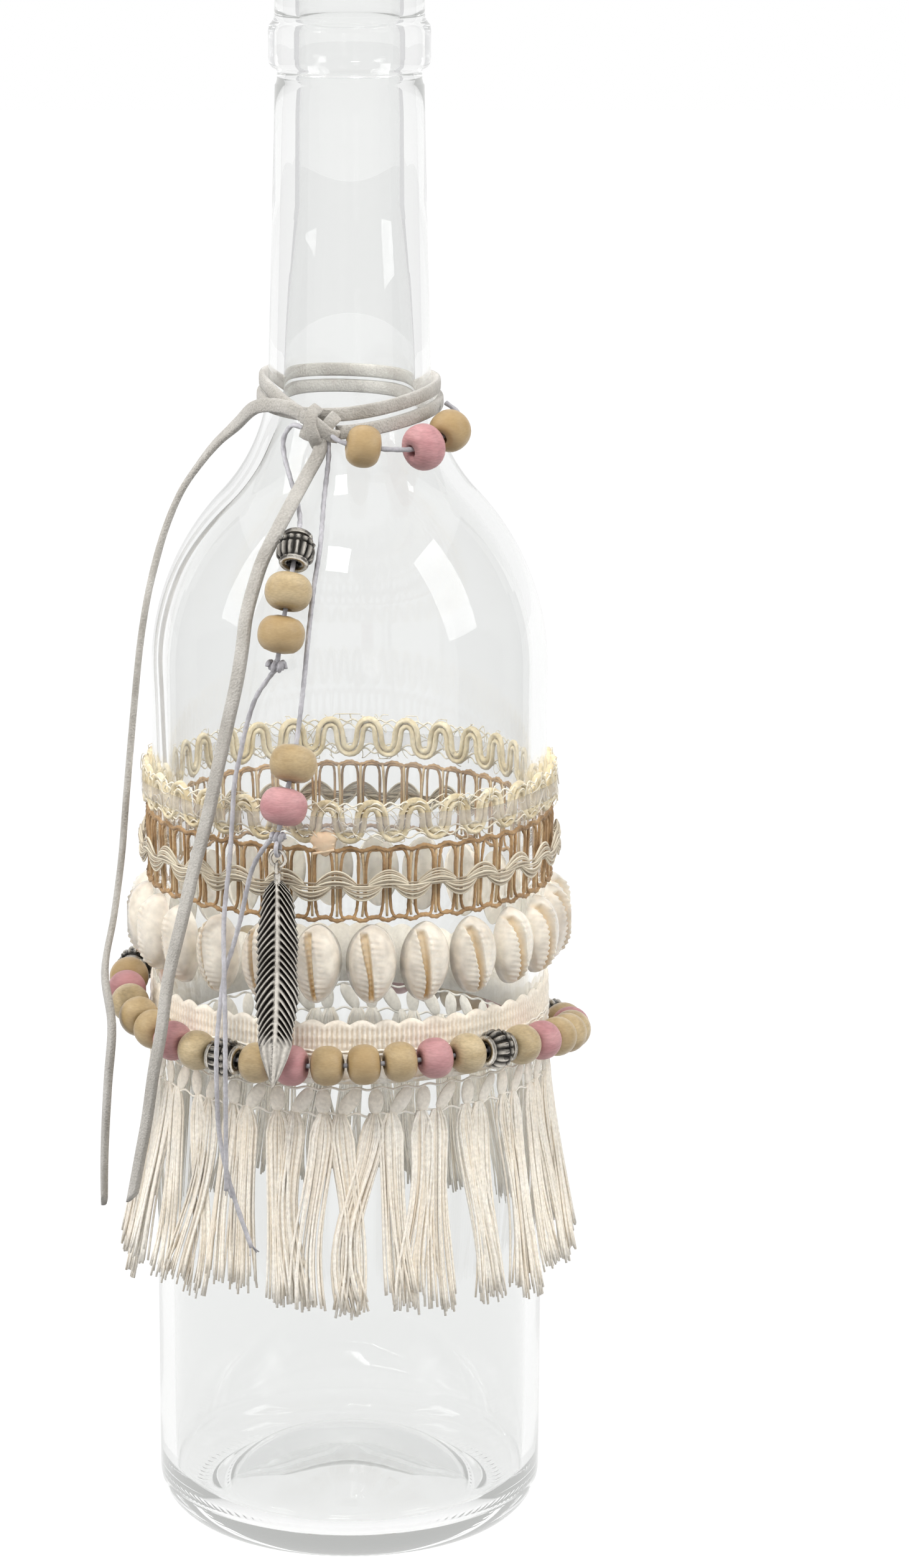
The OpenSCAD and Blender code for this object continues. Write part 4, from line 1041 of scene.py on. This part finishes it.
toneF = np.clip(1.35 * groove * (1 - rib) + 0.55 * line * (1 - rib) + 0.25 * np.exp(-((np.abs(V * half) - 0.6) / 0.2) ** 2), 0, 1)
zTop = -(eyeMid + 1.1 + 1.0)
Zf = zTop - U * L
frontV = np.stack([X, H, Zf + eyeMid], -1).reshape(-1, 3)
backV = np.stack([X, -H * 0.8, Zf + eyeMid], -1).reshape(-1, 3)
fv = np.concatenate([frontV, backV])
ff = []
nn = nu * nv
for i in range(nu - 1):
    for j in range(nv - 1):
        ff.append((i * nv + j, (i + 1) * nv + j, (i + 1) * nv + j + 1, i * nv + j + 1))
        ff.append((nn + i * nv + j, nn + i * nv + j + 1, nn + (i + 1) * nv + j + 1, nn + (i + 1) * nv + j))
for i in range(nu - 1):
    ff.append((i * nv, nn + i * nv, nn + (i + 1) * nv, (i + 1) * nv))
    ff.append((i * nv + nv - 1, (i + 1) * nv + nv - 1, nn + (i + 1) * nv + nv - 1, nn + i * nv + nv - 1))
for j in range(nv - 1):
    ff.append((j, j + 1, nn + j + 1, nn + j))
    q = (nu - 1) * nv
    ff.append((q + j + 1, q + j, nn + q + j, nn + q + j + 1))
lean = math.radians(5)


def featherPoint(pts):
    x, y, z = pts[:, 0], pts[:, 1], pts[:, 2]
    yy = y * math.cos(lean) - z * math.sin(lean)
    zz = y * math.sin(lean) + z * math.cos(lean)
    return (charmAt - upK * eyeMid)[None, :] + tanC[None, :] * x[:, None] + outC[None, :] * yy[:, None] + upK[None, :] * zz[:, None]


blade = (featherPoint(fv), ff, np.concatenate([toneF.ravel(), toneF.ravel()]))
eye = ringTube(np.zeros(3), np.array([0, 1.0, 0]), upK, 1.1, 0.34, 44, 12)
eye = (featherPoint(eye[0]), eye[1], eye[2])
neckProf = [(0.01, 0.3), (0.55, 0.2), (0.8, -0.3), (0.6, -0.8), (0.75, -1.4), (0.55, -2.2), (0.01, -2.6)]
stem = lathe(neckProf, 20)
stem = (featherPoint(stem[0] + np.array([0, 0, -1.1])), stem[1], np.full(len(stem[0]), 0.15))
feather = meshObject("feather_piece", [blade, eye, stem], mats["metal"])
finish(feather, "feather_charm", ["feather"])
print("stage tie")

# floor, light and the white room
floorMesh = bpy.data.meshes.new("floor")
s = 4.0
floorMesh.from_pydata([(-s, -s, -0.0005), (s, -s, -0.0005), (s, s, -0.0005), (-s, s, -0.0005)], [], [(0, 1, 2, 3)])
floor = bpy.data.objects.new("floor", floorMesh)
bpy.context.scene.collection.objects.link(floor)
floorMat, fn, fl, fp = newMaterial("paleFloor")
fp.inputs["Base Color"].default_value = (0.06, 0.06, 0.06, 1)
fp.inputs["Roughness"].default_value = 0.9
fp.inputs["Emission Color"].default_value = (1, 1, 1, 1)
fPath, fSeen, fMix = fn.new("ShaderNodeLightPath"), fn.new("ShaderNodeMath"), fn.new("ShaderNodeMapRange")
fSeen.operation = "MAXIMUM"
fl.new(fPath.outputs["Is Camera Ray"], fSeen.inputs[0])
fl.new(fPath.outputs["Is Transmission Ray"], fSeen.inputs[1])
fGloss = fn.new("ShaderNodeMath")
fGloss.operation = "MAXIMUM"
fl.new(fSeen.outputs[0], fGloss.inputs[0])
fl.new(fPath.outputs["Is Glossy Ray"], fGloss.inputs[1])
fMix.inputs["To Min"].default_value = 0.42
fMix.inputs["To Max"].default_value = 0.97
fl.new(fGloss.outputs[0], fMix.inputs["Value"])
fl.new(fMix.outputs["Result"], fp.inputs["Emission Strength"])
floorMesh.materials.append(floorMat)

# cards out of sight on both sides give the glass its grey edges; seen through the glass they are paler
cardMat, cn, cl, cp = newMaterial("greyCard")
cPath, cPale = cn.new("ShaderNodeLightPath"), cn.new("ShaderNodeMath")
cPale.operation = "MULTIPLY"
cPale.inputs[1].default_value = 0.5
cl.new(cPath.outputs["Is Transmission Ray"], cPale.inputs[0])
cl.new(cPale.outputs[0], cp.inputs["Emission Strength"])
cp.inputs["Emission Color"].default_value = (1, 1, 1, 1)
cp.inputs["Base Color"].default_value = (0.35, 0.35, 0.36, 1)
cp.inputs["Roughness"].default_value = 0.9
cards = {"card_left": (-1.0, -0.45, 0.65, 1.0), "card_right": (1.0, -0.45, 0.65, 1.0),
         "card_left_low": (-0.6, -0.3, 0.42, 0.3), "card_right_low": (0.6, -0.3, 0.42, 0.3)}
for name, (x0, y0, y1, top) in cards.items():
    m = bpy.data.meshes.new(name)
    m.from_pydata([(x0, y0, 0.0), (x0, y1, 0.0), (x0, y1, top), (x0, y0, top)], [], [(0, 1, 2, 3)])
    o = bpy.data.objects.new(name, m)
    bpy.context.scene.collection.objects.link(o)
    m.materials.append(cardMat)
    o.visible_camera = o.visible_diffuse = o.visible_shadow = False


# each window is a lamp for the light and a pane that fades at its edge for what the glass mirrors
paneMat = bpy.data.materials.new("windowPane")
paneMat.use_nodes = True
pn, pl = paneMat.node_tree.nodes, paneMat.node_tree.links
pn.clear()
pCoord, pOut, pClear, pGlow = (n.new(kind) for n, kind in (
    (pn, "ShaderNodeTexCoord"), (pn, "ShaderNodeOutputMaterial"), (pn, "ShaderNodeBsdfTransparent"), (pn, "ShaderNodeEmission")))
pMiddle, pFar, pFade, pMix = (pn.new(kind) for kind in (
    "ShaderNodeVectorMath", "ShaderNodeVectorMath", "ShaderNodeMapRange", "ShaderNodeMixShader"))
pMiddle.operation = "SUBTRACT"
pMiddle.inputs[1].default_value = (0.5, 0.5, 0.0)
pFar.operation = "LENGTH"
pFade.interpolation_type = "SMOOTHSTEP"
pFade.inputs["From Min"].default_value = 0.5
pFade.inputs["From Max"].default_value = 0.3
pGlow.inputs["Strength"].default_value = 8
pl.new(pCoord.outputs["Generated"], pMiddle.inputs[0])
pl.new(pMiddle.outputs[0], pFar.inputs[0])
pl.new(pFar.outputs["Value"], pFade.inputs["Value"])
pl.new(pFade.outputs["Result"], pMix.inputs[0])
pl.new(pClear.outputs[0], pMix.inputs[1])
pl.new(pGlow.outputs[0], pMix.inputs[2])
pl.new(pMix.outputs[0], pOut.inputs["Surface"])


def window(name, at, target, w, h, power, pane=True):
    data = bpy.data.lights.new(name, "AREA")
    data.shape = "RECTANGLE"
    data.size, data.size_y = w, h
    data.energy = power
    lamp = bpy.data.objects.new(name, data)
    lamp.location = at
    lamp.rotation_euler = (Vector(target) - Vector(at)).to_track_quat("-Z", "Y").to_euler()
    lamp.visible_glossy = False
    bpy.context.scene.collection.objects.link(lamp)
    if pane:
        mesh = bpy.data.meshes.new(name + "_pane")
        mesh.from_pydata([(-w / 2, -h / 2, 0), (w / 2, -h / 2, 0), (w / 2, h / 2, 0), (-w / 2, h / 2, 0)], [], [(0, 1, 2, 3)])
        mesh.materials.append(paneMat)
        mirror = bpy.data.objects.new(name + "_pane", mesh)
        mirror.location = at
        mirror.rotation_euler = lamp.rotation_euler
        bpy.context.scene.collection.objects.link(mirror)
        mirror.visible_camera = mirror.visible_diffuse = mirror.visible_shadow = False


window("window_left", (-0.74, -0.16, 0.62), (0, 0, 0.15), 0.36, 0.52, 5)
window("window_right", (0.74, -0.2, 0.6), (0, 0, 0.15), 0.36, 0.56, 4.5)
window("window_front", (0.24, -1.0, 0.27), (0, 0, 0.17), 0.2, 0.26, 0.5)
window("top_fill", (-0.15, -0.65, 1.15), (0, 0, 0.12), 0.3, 0.25, 7, pane=False)

world = bpy.data.worlds.new("whiteRoom")
bpy.context.scene.world = world
world.use_nodes = True
wn, wl = world.node_tree.nodes, world.node_tree.links
wn.clear()
wOut = wn.new("ShaderNodeOutputWorld")
room = wn.new("ShaderNodeBackground")
room.inputs["Color"].default_value = (1, 1, 1, 1)
room.inputs["Strength"].default_value = 0.42
seen = wn.new("ShaderNodeBackground")
seen.inputs["Color"].default_value = (1, 1, 1, 1)
seen.inputs["Strength"].default_value = 1.0
pathNode = wn.new("ShaderNodeLightPath")
orA = wn.new("ShaderNodeMath")
orA.operation = "MAXIMUM"
wl.new(pathNode.outputs["Is Camera Ray"], orA.inputs[0])
wl.new(pathNode.outputs["Is Transmission Ray"], orA.inputs[1])
orB = wn.new("ShaderNodeMath")
orB.operation = "MAXIMUM"
wl.new(orA.outputs[0], orB.inputs[0])
wl.new(pathNode.outputs["Is Glossy Ray"], orB.inputs[1])
mixW = wn.new("ShaderNodeMixShader")
wl.new(orB.outputs[0], mixW.inputs[0])
wl.new(room.outputs[0], mixW.inputs[1])
wl.new(seen.outputs[0], mixW.inputs[2])
wl.new(mixW.outputs[0], wOut.inputs["Surface"])
bpy.context.scene.view_settings.view_transform = "Standard"
print("stage room")
